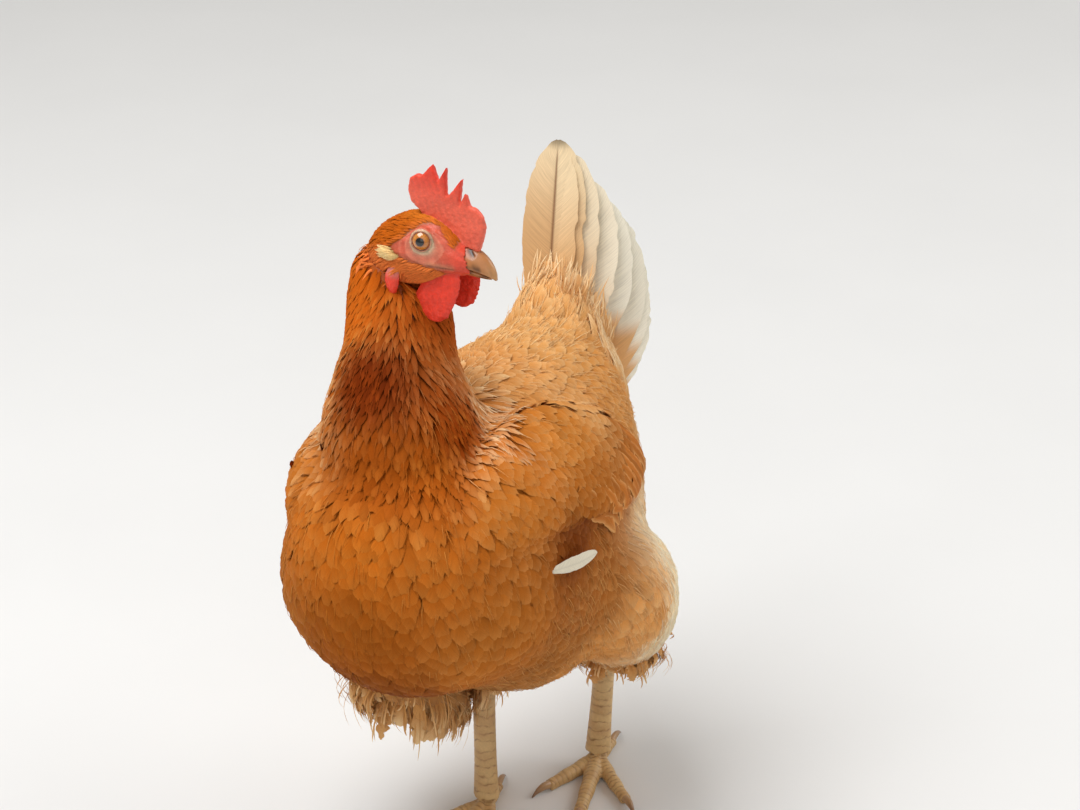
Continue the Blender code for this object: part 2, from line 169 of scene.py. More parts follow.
def paint(mesh, colours):
    layer = mesh.color_attributes.new("Col", "FLOAT_COLOR", "POINT")
    rgba = np.ones((len(colours), 4), np.float32)
    rgba[:, :3] = colours
    layer.data.foreach_set("color", rgba.ravel())


def corners(mesh):
    out = np.empty(len(mesh.vertices) * 3, np.float32)
    mesh.vertices.foreach_get("co", out)
    return out.reshape(-1, 3).astype(float)


def vertex_normals(mesh):
    out = np.empty(len(mesh.vertices) * 3, np.float32)
    mesh.vertex_normals.foreach_get("vector", out)
    return out.reshape(-1, 3).astype(float)


def set_corners(mesh, points):
    mesh.vertices.foreach_set("co", points.astype(np.float32).ravel())
    mesh.update()


def set_normals(mesh, normals):
    """Shade a mesh with these normals in place of its own, one for each point."""
    layer = mesh.attributes.new("custom_normal", "FLOAT_VECTOR", "POINT")
    layer.data.foreach_set("vector", normals.reshape(-1, 3).astype(np.float32).ravel())
    mesh.update()


def lofted(rings):
    """Points and faces of a closed body through rings of equal size."""
    count, sides = len(rings), len(rings[0])
    points = np.vstack(rings)
    faces = []
    for i in range(count - 1):
        for j in range(sides):
            k = (j + 1) % sides
            faces.append((i * sides + j, i * sides + k, (i + 1) * sides + k, (i + 1) * sides + j))
    faces.append(tuple(range(sides))[::-1])
    faces.append(tuple((count - 1) * sides + j for j in range(sides)))
    return points, faces


def applied(obj):
    """Replaces an object's mesh by what its modifiers make of it."""
    graph = bpy.context.evaluated_depsgraph_get()
    mesh = bpy.data.meshes.new_from_object(obj.evaluated_get(graph))
    obj.modifiers.clear()
    obj.data = mesh
    return obj


def fused(name, names, voxel, grow, smoothing, extra=()):
    """One closed surface over several CAD nodes, swollen a little so that the gaps between them close."""
    bm = bmesh.new()
    for node in names:
        part = bmesh.new()
        part.from_mesh(NODES[node].data)
        part.transform(NODES[node].matrix_world)
        bmesh.ops.remove_doubles(part, verts=part.verts, dist=1e-6)
        bmesh.ops.recalc_face_normals(part, faces=part.faces)
        part.normal_update()
        for v in part.verts:
            v.co += v.normal * grow * MM
        spare = bpy.data.meshes.new("spare")
        part.to_mesh(spare)
        part.free()
        bm.from_mesh(spare)
        bpy.data.meshes.remove(spare)
    for centre, radius in extra:
        place = Matrix.Translation(Vector(to_row(centre)))
        bmesh.ops.create_icosphere(bm, subdivisions=4, radius=radius * MM, matrix=place)
    mesh = bpy.data.meshes.new(name)
    bm.to_mesh(mesh)
    bm.free()
    obj = new_object(name, mesh)
    remesh = obj.modifiers.new("surface", "REMESH")
    remesh.mode = "VOXEL"
    remesh.voxel_size = voxel * MM
    blur = obj.modifiers.new("smooth", "SMOOTH")
    blur.factor = 0.5
    blur.iterations = smoothing
    return applied(obj)


def tree_of(points, faces):
    return BVHTree.FromPolygons([Vector(p) for p in points], faces)


# ---------------------------------------------------------------- the lie of the coat

# Each guide: sides, place, lie of the feathers, length, half width, coat depth, spacing, fluff, colour and edge
# colour.
# Those with 2 sides are mirrored to the hen's right.
# The front of the neck is painted dark rust: painted shade under the head.
SHADED_NECK_FRONT = (108, 38, 3)
GUIDES = [
    ("neck front", 1, (-14, -98, 325), (0, -0.3, -1), 13, 1.9, 4, 2.4, 0.2, SHADED_NECK_FRONT, (146, 60, 10)),
    ("neck base front", 1, (-5, -120, 290), (0, -0.25, -1), 16, 3, 5, 3.4, 0.15, (158, 74, 12), (182, 96, 26)),
    ("breast top", 1, (0, -136, 262), (0, -0.2, -1), 20, 4.6, 6, 4.4, 0.2, (188, 98, 22), (208, 128, 48)),
    ("breast top side", 2, (40, -125, 260), (0.15, 0, -1), 20, 4.6, 6, 4.4, 0.2, (184, 98, 26), (208, 132, 56)),
    # The breast front, breast low and belly are painted darker towards the bottom, as painted shade under the body.
    ("breast front", 1, (0, -147, 215), (0, 0, -1), 23, 5.8, 7, 4.8, 0.25, (156, 80, 16), (186, 110, 38)),
    ("breast low", 1, (0, -128, 160), (0, 0.5, -0.86), 25, 6.2, 8, 5, 0.3, (126, 62, 12), (164, 98, 38)),
    ("breast side", 2, (64, -105, 205), (0.05, 0.3, -0.95), 23, 5.6, 7, 4.7, 0.25, (174, 98, 30), (206, 138, 68)),
    ("belly", 1, (0, -55, 98), (0, 1, -0.2), 30, 7, 9, 5.4, 0.6, (138, 80, 28), (184, 130, 70)),
    ("belly rear", 1, (0, 25, 86), (0, 1, 0), 32, 7, 10, 5.6, 0.9, (204, 144, 82), (228, 188, 136)),
    ("flank", 2, (74, -55, 150), (0, 0.7, -0.7), 27, 6.2, 8, 5, 0.5, (158, 92, 30), (204, 146, 82)),
    ("thigh left", 1, (93, 14, 158), (0, 0.55, -0.83), 32, 5.8, 8, 4.6, 1, (222, 150, 78), (242, 196, 134)),
    ("thigh left front", 1, (80, -10, 130), (0, 0.6, -0.8), 30, 6, 8, 4.7, 0.8, (204, 130, 58), (230, 178, 112)),
    ("thigh left rim", 1, (90, 50, 150), (0.1, 0.3, -0.95), 30, 4.6, 7.5, 4, 1.2, (250, 220, 170), (255, 246, 224)),
    ("thigh left top", 1, (84, 56, 186), (0.2, 0.4, -0.9), 28, 4.6, 7.5, 4, 1.2, (248, 214, 164), (255, 246, 222)),
    ("thigh left rear", 1, (78, 80, 166), (0, 0.35, -0.94), 30, 4.8, 7.5, 4.1, 1.2, (250, 224, 178), (255, 248, 230)),
    ("thigh left low", 1, (52, 66, 80), (0, 0.2, -0.98), 30, 4.8, 7, 4.4, 1, (214, 152, 88), (242, 206, 154)),
    ("thigh right", 1, (-93, -30, 150), (0, 0.45, -0.89), 34, 6.2, 8, 5, 1.2, (200, 128, 58), (226, 170, 104)),
    ("thigh right rear", 1, (-72, 14, 120), (0, 0.25, -0.97), 32, 5.8, 8, 5, 1, (230, 194, 142), (244, 228, 196)),
    ("thigh right low", 1, (-40, -10, 62), (0, 0.2, -0.98), 36, 4.2, 8, 3.9, 2.4, (196, 136, 72), (240, 204, 152)),
    ("rump", 1, (0, 128, 185), (0, 0.2, -1), 34, 7, 10, 5.6, 1, (216, 162, 100), (238, 208, 162)),
    ("rump side", 2, (48, 92, 195), (0.1, 0.6, -0.8), 32, 7, 8, 5.4, 0.8, (208, 144, 78), (230, 186, 130)),
    ("back", 1, (0, -30, 297), (0, 1, -0.05), 16, 3.6, 6, 3.7, 0.35, (206, 150, 92), (236, 200, 148)),
    ("back side", 2, (34, -4, 281), (0.6, 0.75, -0.2), 18, 3.8, 6, 3.8, 0.3, (208, 144, 80), (232, 190, 136)),
    ("saddle", 1, (0, 40, 288), (0, 1, 0), 20, 3.8, 7, 3.8, 0.8, (204, 144, 80), (234, 196, 142)),
    ("saddle side", 2, (44, 55, 258), (0.2, 0.8, -0.5), 24, 4.8, 7, 4.4, 0.5, (206, 136, 66), (232, 184, 124)),
    ("tail root", 1, (-4, 92, 280), (-0.05, 0.6, 0.8), 28, 4.4, 6, 3.8, 1.4, (216, 154, 88), (242, 204, 150)),
    ("tail mound", 1, (-12, 110, 305), (-0.1, 0.45, 0.9), 30, 4.4, 6, 3.8, 1.6, (220, 166, 104), (244, 214, 166)),
    ("neck left", 1, (26, -76, 302), (0.3, 0.05, -1), 18, 1.8, 5, 2.5, 0.15, (142, 56, 4), (184, 100, 30)),
    # The hen's right side of the neck is painted lighter than its left: painted light where the lamps leave it
    # shaded.
    ("neck right", 1, (-48, -76, 302), (-0.3, 0.05, -1), 22, 1.9, 5, 2.6, 0.15, (206, 106, 26), (244, 204, 142)),
    ("nape", 1, (-14, -24, 325), (0, 0.3, -1), 20, 1.8, 5, 2.5, 0.15, (180, 80, 6), (212, 124, 36)),
    ("cape back", 1, (-6, -32, 296), (0, 0.9, -0.4), 26, 2.2, 6, 2.9, 0, (208, 130, 60), (246, 214, 162)),
    ("cape left", 1, (24, -46, 294), (0.8, 0.1, -0.5), 20, 1.5, 5, 2.4, 0.1, (206, 124, 50), (250, 226, 184)),
    ("cape left low", 1, (42, -66, 286), (0.6, -0.1, -0.8), 19, 1.5, 5, 2.4, 0.1, (198, 112, 40), (248, 220, 176)),
    ("neck base left", 1, (24, -100, 286), (0.15, -0.2, -1), 17, 2.6, 5, 3.2, 0.15, (164, 78, 12), (196, 110, 36)),
    ("cape right", 1, (-50, -76, 278), (-0.6, 0.3, -0.75), 26, 1.7, 5, 2.6, 0, (200, 120, 50), (248, 224, 180)),
    ("upper neck left", 1, (6, -46, 345), (0.15, 0, -1), 14, 1.4, 3, 2.1, 0, (160, 70, 14), (196, 108, 36)),
    # painted light: the upper neck's right side is also painted lighter than its left
    ("upper neck right", 1, (-42, -56, 342), (-0.15, 0, -1), 15, 1.4, 3, 2.1, 0, (196, 92, 16), (226, 144, 56)),
    ("upper neck back", 1, (-20, -22, 348), (-0.1, 0.2, -1), 15, 1.4, 3, 2.1, 0, (184, 84, 14), (220, 138, 50)),
    ("wing shoulder", 2, (55, -84, 268), (0.35, 0.4, -0.85), 17, 3.6, 4.5, 3.7, 0.15, (186, 106, 34), (216, 148, 78)),
    ("wing front top", 2, (48, -48, 283), (0.5, 0.6, -0.6), 16, 3.8, 4.5, 3.7, 0.1, (198, 118, 44), (226, 164, 94)),
    ("wing front", 2, (47, -70, 278), (0.5, 0.35, -0.8), 16, 3.8, 4.5, 3.7, 0.1, (190, 108, 36), (218, 150, 80)),
    ("wing top", 2, (52, -32, 281), (0.45, 0.75, -0.5), 18, 3.8, 4.5, 3.7, 0.15, (194, 116, 42), (224, 164, 94)),
    ("wing middle", 2, (74, -34, 254), (0.1, 0.6, -0.8), 19, 3.9, 4.5, 3.7, 0.15, (172, 96, 28), (208, 142, 74)),
    # painted shade: the wing's lower edge is painted dark brown
    ("wing low", 2, (78, -45, 236), (0, 0.35, -0.94), 22, 4.2, 4.5, 3.9, 0.15, (120, 56, 8), (160, 90, 32)),
    ("wing seam", 2, (30, -22, 286), (0.85, 0.5, -0.1), 19, 3.8, 6.2, 3.5, 0.3, (204, 134, 66), (228, 172, 106)),
    # painted shade: the flank just under the wing is painted darker, for the wing's shadow
    ("under wing", 2, (80, -28, 194), (0.1, 0.5, -0.85), 24, 5, 6, 4.2, 0.6, (160, 90, 30), (212, 152, 86)),
    ("tail side left", 1, (24, 112, 246), (0.25, 0.35, 0.9), 26, 4.6, 8, 3.9, 1.8, (222, 166, 104), (246, 220, 178)),
    ("wing rear", 2, (68, 28, 245), (0.1, 0.5, -0.85), 24, 4, 4.5, 3.9, 0.15, (158, 86, 24), (212, 148, 80)),
]


def guide_arrays():
    rows = []
    for name, sides, place, lie, *rest in GUIDES:
        rows.append((place, lie, rest))
        if sides == 2:
            rows.append(((-place[0], *place[1:]), (-lie[0], *lie[1:]), rest))
    places = np.array([r[0] for r in rows], float)
    lies = unit(np.array([r[1] for r in rows], float))
    sizes = np.array([r[2][:5] for r in rows], float)
    colours = np.array([linear(r[2][5]) for r in rows])
    edges = np.array([linear(r[2][6]) for r in rows])
    return places, np.hstack((lies, sizes, colours, edges))


GUIDE_PLACES, GUIDE_VALUES = guide_arrays()
LIE, LENGTH, WIDTH, DEPTH, SPACING, FLUFF = slice(0, 3), 3, 4, 5, 6, 7
BASE, EDGE = slice(8, 11), slice(11, 14)
GUIDE_FALLOFF = 5


def coat_at(points):
    """What the guides say at each point: the nearer a guide, the more it counts."""
    points = np.atleast_2d(points)
    out = np.empty((len(points), GUIDE_VALUES.shape[1]))
    for start in range(0, len(points), 20000):
        part = points[start:start + 20000]
        gap = np.linalg.norm(part[:, None] - GUIDE_PLACES[None], axis=2)
        weight = 1 / np.maximum(gap, 4) ** GUIDE_FALLOFF
        out[start:start + 20000] = weight @ GUIDE_VALUES / weight.sum(1, keepdims=True)
    return out


# ---------------------------------------------------------------- skin

BODY_NODES = ["trunk", "neck_lower", "neck_upper", "tail_coverts", "thigh_left", "thigh_right"] + [
    "wing_%s_%s" % (side, part) for side in ("left", "right") for part in ("shoulder", "coverts", "quills")]
HEAD_NODES = ["head", "comb", "wattle_left", "wattle_right", "earlobe_left", "earlobe_right"]
# Parts of the body, by number: 0 trunk, 1 neck, 2 tail coverts, 3 and 4 thighs, 5 and 6 wings, 7 head.
BODY_GROUPS = [0, 1, 1, 2, 3, 4, 5, 5, 5, 6, 6, 6]      # the part that each of BODY_NODES belongs to
SKIN_PAINTED_SHADE = 0.75       # the skin beneath the feathers, as a share of their colour: painted shade, so the gaps between feathers look shaded


def eye_axes():
    ahead, lifted = math.radians(EYE_FORWARD), math.radians(EYE_UPWARD)
    level = math.cos(lifted)
    return [(sign, np.array((EYE_AT[0], sign * EYE_AT[1], EYE_AT[2])),
             np.array((math.sin(ahead) * level, sign * math.cos(ahead) * level, math.sin(lifted))))
            for sign in (1, -1)]


def round_eye(points, centre, axis):
    """Offset from the eye's middle, distance from it, and degrees from the eye's axis."""
    away = points - centre
    reach = np.linalg.norm(away, axis=1)
    return away, reach, np.degrees(np.arccos(np.clip(away @ axis / np.maximum(reach, 1e-6), -1, 1)))


def fold_wave(angle):
    """Height of the folds round the eye, from -1 to 1."""
    return np.sin((angle - LID_OPENING) / FOLD_STEP * 2 * math.pi)


def nearest_node(points, names):
    """Index into names of the CAD node nearest to each point."""
    corner_list, face_rows, owner = [], [], []
    for index, name in enumerate(names):
        mesh = NODES[name].data
        base = len(corner_list)
        corner_list += [Vector(p) for p in to_hen(corners(mesh))]
        for face in mesh.polygons:
            face_rows.append([base + v for v in face.vertices])
            owner.append(index)
    tree = BVHTree.FromPolygons(corner_list, face_rows)
    return np.array([owner[tree.find_nearest(Vector(p))[2]] for p in points])


def body_skin():
    """The body's surface, drawn in from the CAD nodes by the depth of the coat."""
    obj = fused("skin", BODY_NODES, voxel=2.4, grow=0.2, smoothing=14)
    points = to_hen(corners(obj.data))
    inward = coat_at(points)[:, DEPTH]
    from_head = np.linalg.norm(points - (HEAD_AT + (-10, 0, -8)), axis=1)
    inward = np.where(from_head < 60, np.minimum(inward, 1.5 + 4.5 * smooth(22, 60, from_head)), inward)
    points -= vertex_normals(obj.data) * inward[:, None]
    set_corners(obj.data, to_row(points))
    blur = obj.modifiers.new("smooth", "SMOOTH")
    blur.iterations = 4
    return applied(obj)


def head_skin():
    """Head, comb, wattles and earlobes in one surface, with lids and folds round each eye."""
    balls = [(head_to_hen(centre), EYE_RADIUS + 0.5) for _, centre, _ in eye_axes()]
    obj = fused("head_skin", HEAD_NODES, voxel=0.5, grow=0.22, smoothing=5, extra=balls)
    points = hen_to_head(to_hen(corners(obj.data)))
    for _, centre, axis in eye_axes():
        away, reach, angle = round_eye(points, centre, axis)
        near = (reach < 16) & (angle < 100)
        lid = EYE_RADIUS + 0.45 + 0.25 * np.exp(-((angle - LID_OPENING - 4) / 4) ** 2)
        target = blend(lid, np.maximum(reach, lid), smooth(LID_OPENING + 6, LID_OPENING + 26, angle))
        folded = smooth(105, 60, angle) * smooth(LID_OPENING, LID_OPENING + 8, angle)
        opened = smooth(LID_OPENING + 1, LID_OPENING - 2, angle)
        target = blend(target + FACE_FOLD * fold_wave(angle) * folded, EYE_RADIUS - 0.7, opened)
        points = np.where(near[:, None], centre + away / reach[:, None] * target[:, None], points)
    set_corners(obj.data, to_row(head_to_hen(points)))
    pimpled = nearest_node(to_hen(corners(obj.data)), HEAD_NODES) > 0
    relief = np.array([noise.noise(Vector(q) / 1.8) + 0.5 * noise.noise(Vector(q) / 0.9) for q in points])
    relief *= COMB_RELIEF * pimpled
    set_corners(obj.data, corners(obj.data) + vertex_normals(obj.data) * relief[:, None] * MM)
    return obj


# Middle and half size of each part of the body by its number, for its place on the unwrap.
CELLS = [(0, 0, 190, 150), (-8, -70, 320, 62), (-8, 90, 285, 50), (55, 40, 125, 75), (-55, -28, 120, 75),
         (60, -25, 250, 100), (-60, -25, 250, 100), (1, -52, 375, 40)]


def cell_uv(group, axis, points):
    """Place on the skin's unwrap: each part of the body is laid flat from its own six sides, a cell each."""
    planes = np.array(((1, 2), (0, 2), (0, 1)))[axis % 3]
    flat = np.take_along_axis(points, planes, axis=1)
    cells = np.array(CELLS, float)[group]
    half = cells[:, 3]
    centre = np.take_along_axis(cells[:, :3], planes, axis=1)
    local = np.clip((flat - centre) / half[:, None] * 0.48 + 0.5, 0.01, 0.99)
    big, small = 2 / 9, 1 / 9
    slot = (group - 1) * 6 + axis
    corner = np.where((group == 0)[:, None],
                      np.stack((axis % 4 * big, axis // 4 * big), 1),
                      np.stack((slot % 9 * small, 2 * big + slot // 9 * small), 1))
    return corner + local * np.where(group == 0, big, small)[:, None]


def side_axis(normals):
    """0 to 5 for the side that each normal faces most: X, Y, Z, then their opposites."""
    axis = np.abs(normals).argmax(1)
    facing = np.take_along_axis(normals, axis[:, None], axis=1)[:, 0]
    return axis + 3 * (facing < 0)


def unwrap_skin(obj, vertex_group):
    """The OFBake map of the skin, from the part of the body that each vertex belongs to."""
    mesh = obj.data
    normals = np.empty(len(mesh.polygons) * 3, np.float32)
    mesh.polygon_normals.foreach_get("vector", normals)
    axis = side_axis(normals.reshape(-1, 3))
    sizes = np.empty(len(mesh.polygons), np.int32)
    mesh.polygons.foreach_get("loop_total", sizes)
    loops = np.empty(len(mesh.loops), np.int32)
    mesh.loops.foreach_get("vertex_index", loops)
    starts = np.concatenate(([0], np.cumsum(sizes)[:-1]))
    group = vertex_group[loops[starts]]
    uv = cell_uv(np.repeat(group, sizes), np.repeat(axis, sizes), to_hen(corners(mesh))[loops])
    mesh.uv_layers.new(name="OFBake").data.foreach_set("uv", uv.astype(np.float32).ravel())


# Bare face in the head frame: the brow line above it and the cheek line below it, as (x, z).
BROW = [(-40, -12), (-23, -9), (-15.2, -5.8), (-9.1, -0.8), (-6.6, 2.8), (-2.9, 5.8), (2.5, 6.9), (7, 5.2),
        (9.2, 3.4), (14.2, -0.4), (17, -3)]
CHEEK = [(-40, -12), (-16, -6.6), (-12.5, -8), (-8, -9.8), (0, -10.8), (7, -11.4), (12, -13.6), (16, -19)]
FACE_FRONT = 16         # no feathers ahead of this


def line_height(line, x):
    xs, zs = zip(*line)
    return np.interp(x, xs, zs)


def bare_face(p, cheek_blend=0.8):
    """1 on the bare skin of the face, 0 where the head is feathered."""
    x, z = p[:, 0], p[:, 2]
    below_brow = smooth(0.8, -0.8, z - line_height(BROW, x))
    above_cheek = smooth(-cheek_blend, cheek_blend, z - line_height(CHEEK, x))
    return np.maximum(below_brow * above_cheek, smooth(FACE_FRONT - 1, FACE_FRONT + 1, x))


def head_colours(points, part):
    """Colour of the head's skin; part is the index in HEAD_NODES that each point is nearest to."""
    p = hen_to_head(points)
    x, z = p[:, 0], p[:, 2]
    feathered, face = linear((160, 84, 36)), linear((204, 92, 68))
    pale, red, deep = linear((238, 146, 116)), linear((234, 68, 46)), linear((204, 28, 20))
    bare = bare_face(p, 3.5)[:, None]
    out = blend(feathered, face, bare)
    out = blend(out, red, 0.6 * smooth(9, 20, x)[:, None] * bare)
    for _, centre, axis in eye_axes():
        _, reach, angle = round_eye(p, centre, axis)
        near = reach < 13
        ring = np.exp(-((angle - LID_OPENING - 8) / 7) ** 2) * near
        # painted highlight: the crests of the folds round the eye are painted paler
        fold = np.clip(fold_wave(angle), 0, 1) * smooth(100, 60, angle) * near
        # painted shade: the lid's edge, where the skin turns in to the eye, is painted dark
        inner = smooth(LID_OPENING + 1.5, LID_OPENING - 1, angle) * near
        out = blend(out, pale, 0.5 * fold[:, None])
        out = blend(out, linear((206, 184, 152)), ring[:, None])
        out = blend(out, linear((58, 34, 24)), inner[:, None])
    gape = smooth(2, 7, x) * smooth(19, 16, x) * (part == 0)
    for height, reach, share, tone in ((-10.6, 1.5, 0.7, (206, 136, 100)), (-11.3, 0.5, 0.8, (112, 58, 42))):
        out = blend(out, linear(tone), (share * gape * np.exp(-((z - height) / reach) ** 2))[:, None])
    height = smooth(12, 34, z)[:, None]
    comb = pale * 0.35 * (1 - height) + red * (0.65 + 0.1 * height) + deep * 0.25 * height
    lobe = blend(red, linear((232, 170, 156)), 0.6 * smooth(-24, -18, z)[:, None])
    for name, colour in (("comb", comb), ("wattle", blend(red, deep, 0.15)), ("earlobe", lobe)):
        parts = [i for i, node_name in enumerate(HEAD_NODES) if node_name.startswith(name)]
        out = np.where(np.isin(part, parts)[:, None], colour, out)
    return np.clip(out * (1 + 0.1 * wave_noise(points, 3.2, 3)[:, None]), 0, 1)


# ---------------------------------------------------------------- feathers

NO_FEATHERS = 99        # a spacing that keeps feathers off


def random_points(points, faces, spacing_of, crowd=9):
    """Points on a triangulated surface, kept at least the local spacing apart."""
    tri = points[faces]
    normal = np.cross(tri[:, 1] - tri[:, 0], tri[:, 2] - tri[:, 0])
    area = np.linalg.norm(normal, axis=1) / 2
    normal = unit(normal)
    spacing = spacing_of(tri.mean(1))
    weight = area / spacing ** 2 * (spacing < NO_FEATHERS)
    count = int(weight.sum() * crowd)
    pick = rng.choice(len(faces), count, p=weight / weight.sum())
    a, b = rng.random((2, count))
    flip = a + b > 1
    a, b = np.where(flip, 1 - a, a), np.where(flip, 1 - b, b)
    place = tri[pick, 0] + (tri[pick, 1] - tri[pick, 0]) * a[:, None] + (tri[pick, 2] - tri[pick, 0]) * b[:, None]
    gap = spacing[pick] * rng.uniform(0.82, 1.1, count)
    size = spacing[spacing < NO_FEATHERS].max() * 1.15
    around = list(itertools.product((-1, 0, 1), repeat=3))
    cells, kept = {}, []
    for i, (cx, cy, cz) in enumerate(np.floor(place / size).astype(int).tolist()):
        q, limit = place[i], gap[i] ** 2
        near = (place[j] for dx, dy, dz in around for j in cells.get((cx + dx, cy + dy, cz + dz), ()))
        if all((q[0] - r[0]) ** 2 + (q[1] - r[1]) ** 2 + (q[2] - r[2]) ** 2 >= limit for r in near):
            cells.setdefault((cx, cy, cz), []).append(i)
            kept.append(i)
    kept = np.array(kept)
    return place[kept], normal[pick[kept]], pick[kept]


def traced(tree, roots, normals, lies, lengths, steps, flow, stiffness=0.6):
    """Centre lines over the skin from each root: places, normals and directions, each (n, steps, 3)."""
    n = len(roots)
    place, up, way = (np.empty((n, steps, 3)) for _ in range(3))
    here, normal = roots.copy(), normals.copy()
    heading = unit(lies - (lies * normal).sum(1, keepdims=True) * normal)
    for k in range(steps):
        place[:, k], up[:, k], way[:, k] = here, normal, heading
        if k == steps - 1:
            break
        ahead = here + heading * (lengths / (steps - 1))[:, None]
        found = [tree.find_nearest(Vector(p)) for p in ahead]
        here = np.array([f[0] for f in found])
        facing = np.array([f[1] for f in found])
        normal = unit(normal * 0.5 + facing * 0.5)
        pull = flow(here)
        heading = unit(heading * stiffness + pull * (1 - stiffness))
        heading = unit(heading - (heading * normal).sum(1, keepdims=True) * normal)
    return place, up, way


def vane_points(place, up, way, half, rise, ends, ragged):
    """Thin vanes: at each station the points of the upper side and then of the under side, which meet at the
    edges.  Each column of points ends at its own share of the length."""
    n, steps, _ = place.shape
    columns = ends.shape[1]
    u = np.linspace(-1, 1, columns)
    t = np.linspace(0, 1, steps)[None, :, None]
    along = t * ends[:, None]
    at = along * (steps - 1)
    low = np.minimum(at.astype(int), steps - 2)
    share = at - low
    row = np.arange(n)[:, None, None]

    def between(field):
        part = share if field.ndim == 2 else share[..., None]
        return field[row, low] * (1 - part) + field[row, low + 1] * part

    centre, normal, heading = between(place), unit(between(up)), unit(between(way))
    across = unit(np.cross(heading, normal))
    width = between(half) * (1 + ragged * rng.normal(size=along.shape) * (np.abs(u) > 0.6))
    height = between(rise) - CAMBER * width * u ** 2
    round_off = 1.0 if columns == 3 else 0.3
    tipped = heading * (0.25 * smooth(0.6, 1, along))[..., None]
    soft = unit(normal + across * (round_off * u)[:, None] + tipped)
    below = unit(across * (round_off * u)[:, None] - normal * (0.4 if columns == 3 else 1.0))
    body = VANE_THICKNESS * np.sqrt(4 * t * (1 - t)) * (1 - np.abs(u) ** 1.5)
    flat = centre + across * (width * u)[..., None]
    top = flat + normal * (height + 0.95 * body)[..., None]
    under = flat + normal * (height - 0.05 * body)[..., None]
    return np.concatenate((top, under), 2), np.concatenate((along, along), 2), np.concatenate((soft, below), 2)


def shell_faces(n, steps, columns):
    """Triangles for n feathers, each with an upper and an under side of steps rows and so many columns."""
    sides = 2 * columns
    k, j = np.meshgrid(np.arange(steps - 1), np.arange(columns - 1), indexing="ij")
    a = (k * sides + j).ravel()
    top = np.concatenate((np.stack((a, a + 1, a + sides + 1), 1), np.stack((a, a + sides + 1, a + sides), 1)))
    one = np.concatenate((top, top[:, ::-1] + columns))
    return ((np.arange(n) * steps * sides)[:, None, None] + one[None]).reshape(-1, 3)


def round_outline(s):
    """Half width along a body feather, from a narrow root to a broad end."""
    return (0.34 + 0.66 * smooth(0, 0.45, s)) * (1 - 0.12 * smooth(0.75, 1, s))


def lance_outline(s):
    """Half width along a pointed neck feather."""
    return (0.4 + 0.6 * smooth(0, 0.35, s)) * (1 - 0.88 * smooth(0.35, 1, s))


PLUME_TAPER = 0.6       # share of a quill feather's length at which it starts to narrow


def plume_outline(s):
    """Half width along a quill feather, round at the tip."""
    rise = 0.3 + 0.7 * smooth(0, 0.45, s)
    fall = np.clip(1 - ((s - PLUME_TAPER) / (1 - PLUME_TAPER)) ** 2, 0, 1) ** 0.6
    return np.where(s < PLUME_TAPER, rise, np.maximum(fall, 0.06))


ROOT_PATCH = 0.003      # size on the unwrap of the patch that each feather gets


def feather_mesh(name, rings, normals, colours, bake, vane):
    """One mesh of many feathers with its colours and two maps; the fields are (n, steps, 2 * columns, ...)."""
    n, steps, sides, _ = rings.shape
    obj = mesh_of(name, rings.reshape(-1, 3), shell_faces(n, steps, sides // 2), colours.reshape(-1, 3))
    set_normals(obj.data, normals)
    loops = np.empty(len(obj.data.loops), np.int32)
    obj.data.loops.foreach_get("vertex_index", loops)
    for title, places in (("OFBake", bake), ("vane", vane)):
        uv = places.reshape(-1, 2)[loops].astype(np.float32)
        obj.data.uv_layers.new(name=title).data.foreach_set("uv", uv.ravel())
    obj.data.materials.append(MATERIALS["feather"])
    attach(obj, "root")
    return obj


def feather_colours(coat, along, spread, streak):
    """Colours of each vane: darker at the root as painted shade under the feathers over it, the edge colour round the
    tip, or along a streaked vane.
    """
    n, _, sides = along.shape
    off = np.tile(np.abs(np.linspace(-1, 1, sides // 2)), 2)
    amount = np.clip(0.55 * smooth(0.5, 1.0, along) + 0.3 * off ** 2 * smooth(0.3, 0.8, along), 0, 1)
    if streak is not None:
        amount = amount * 0.45 + streak[:, None, None] * (1 - 0.7 * off) * smooth(0.2, 0.8, along)
    amount = np.clip(amount, 0, 1)[..., None]
    colour = blend(coat[:, None, None, BASE], coat[:, None, None, EDGE], amount)
    # painted shade: each vane darker towards its root, where the feathers over it shade it
    colour = colour * (0.78 + 0.22 * smooth(0, 0.45, along))[..., None]
    colour = colour * (1 + spread * rng.normal(size=(n, 1, 1, 1)))
    return np.clip(colour, 0, 1)


TIP_DROP = 0.3          # how far a feather's tip sinks back onto the next, as a share of its height
BARBS_SPAN = 5          # half width of a feather that shows the whole pattern of barbs
CAMBER = 0.28           # how far a feather's edges curve down, as a share of its half width
FRAY = 0.11             # how unevenly the barbs of a feather end, as a share of its length
VANE_THICKNESS = 0.24
PIECE_LIMIT = 195000    # most triangles in one piece of the coat


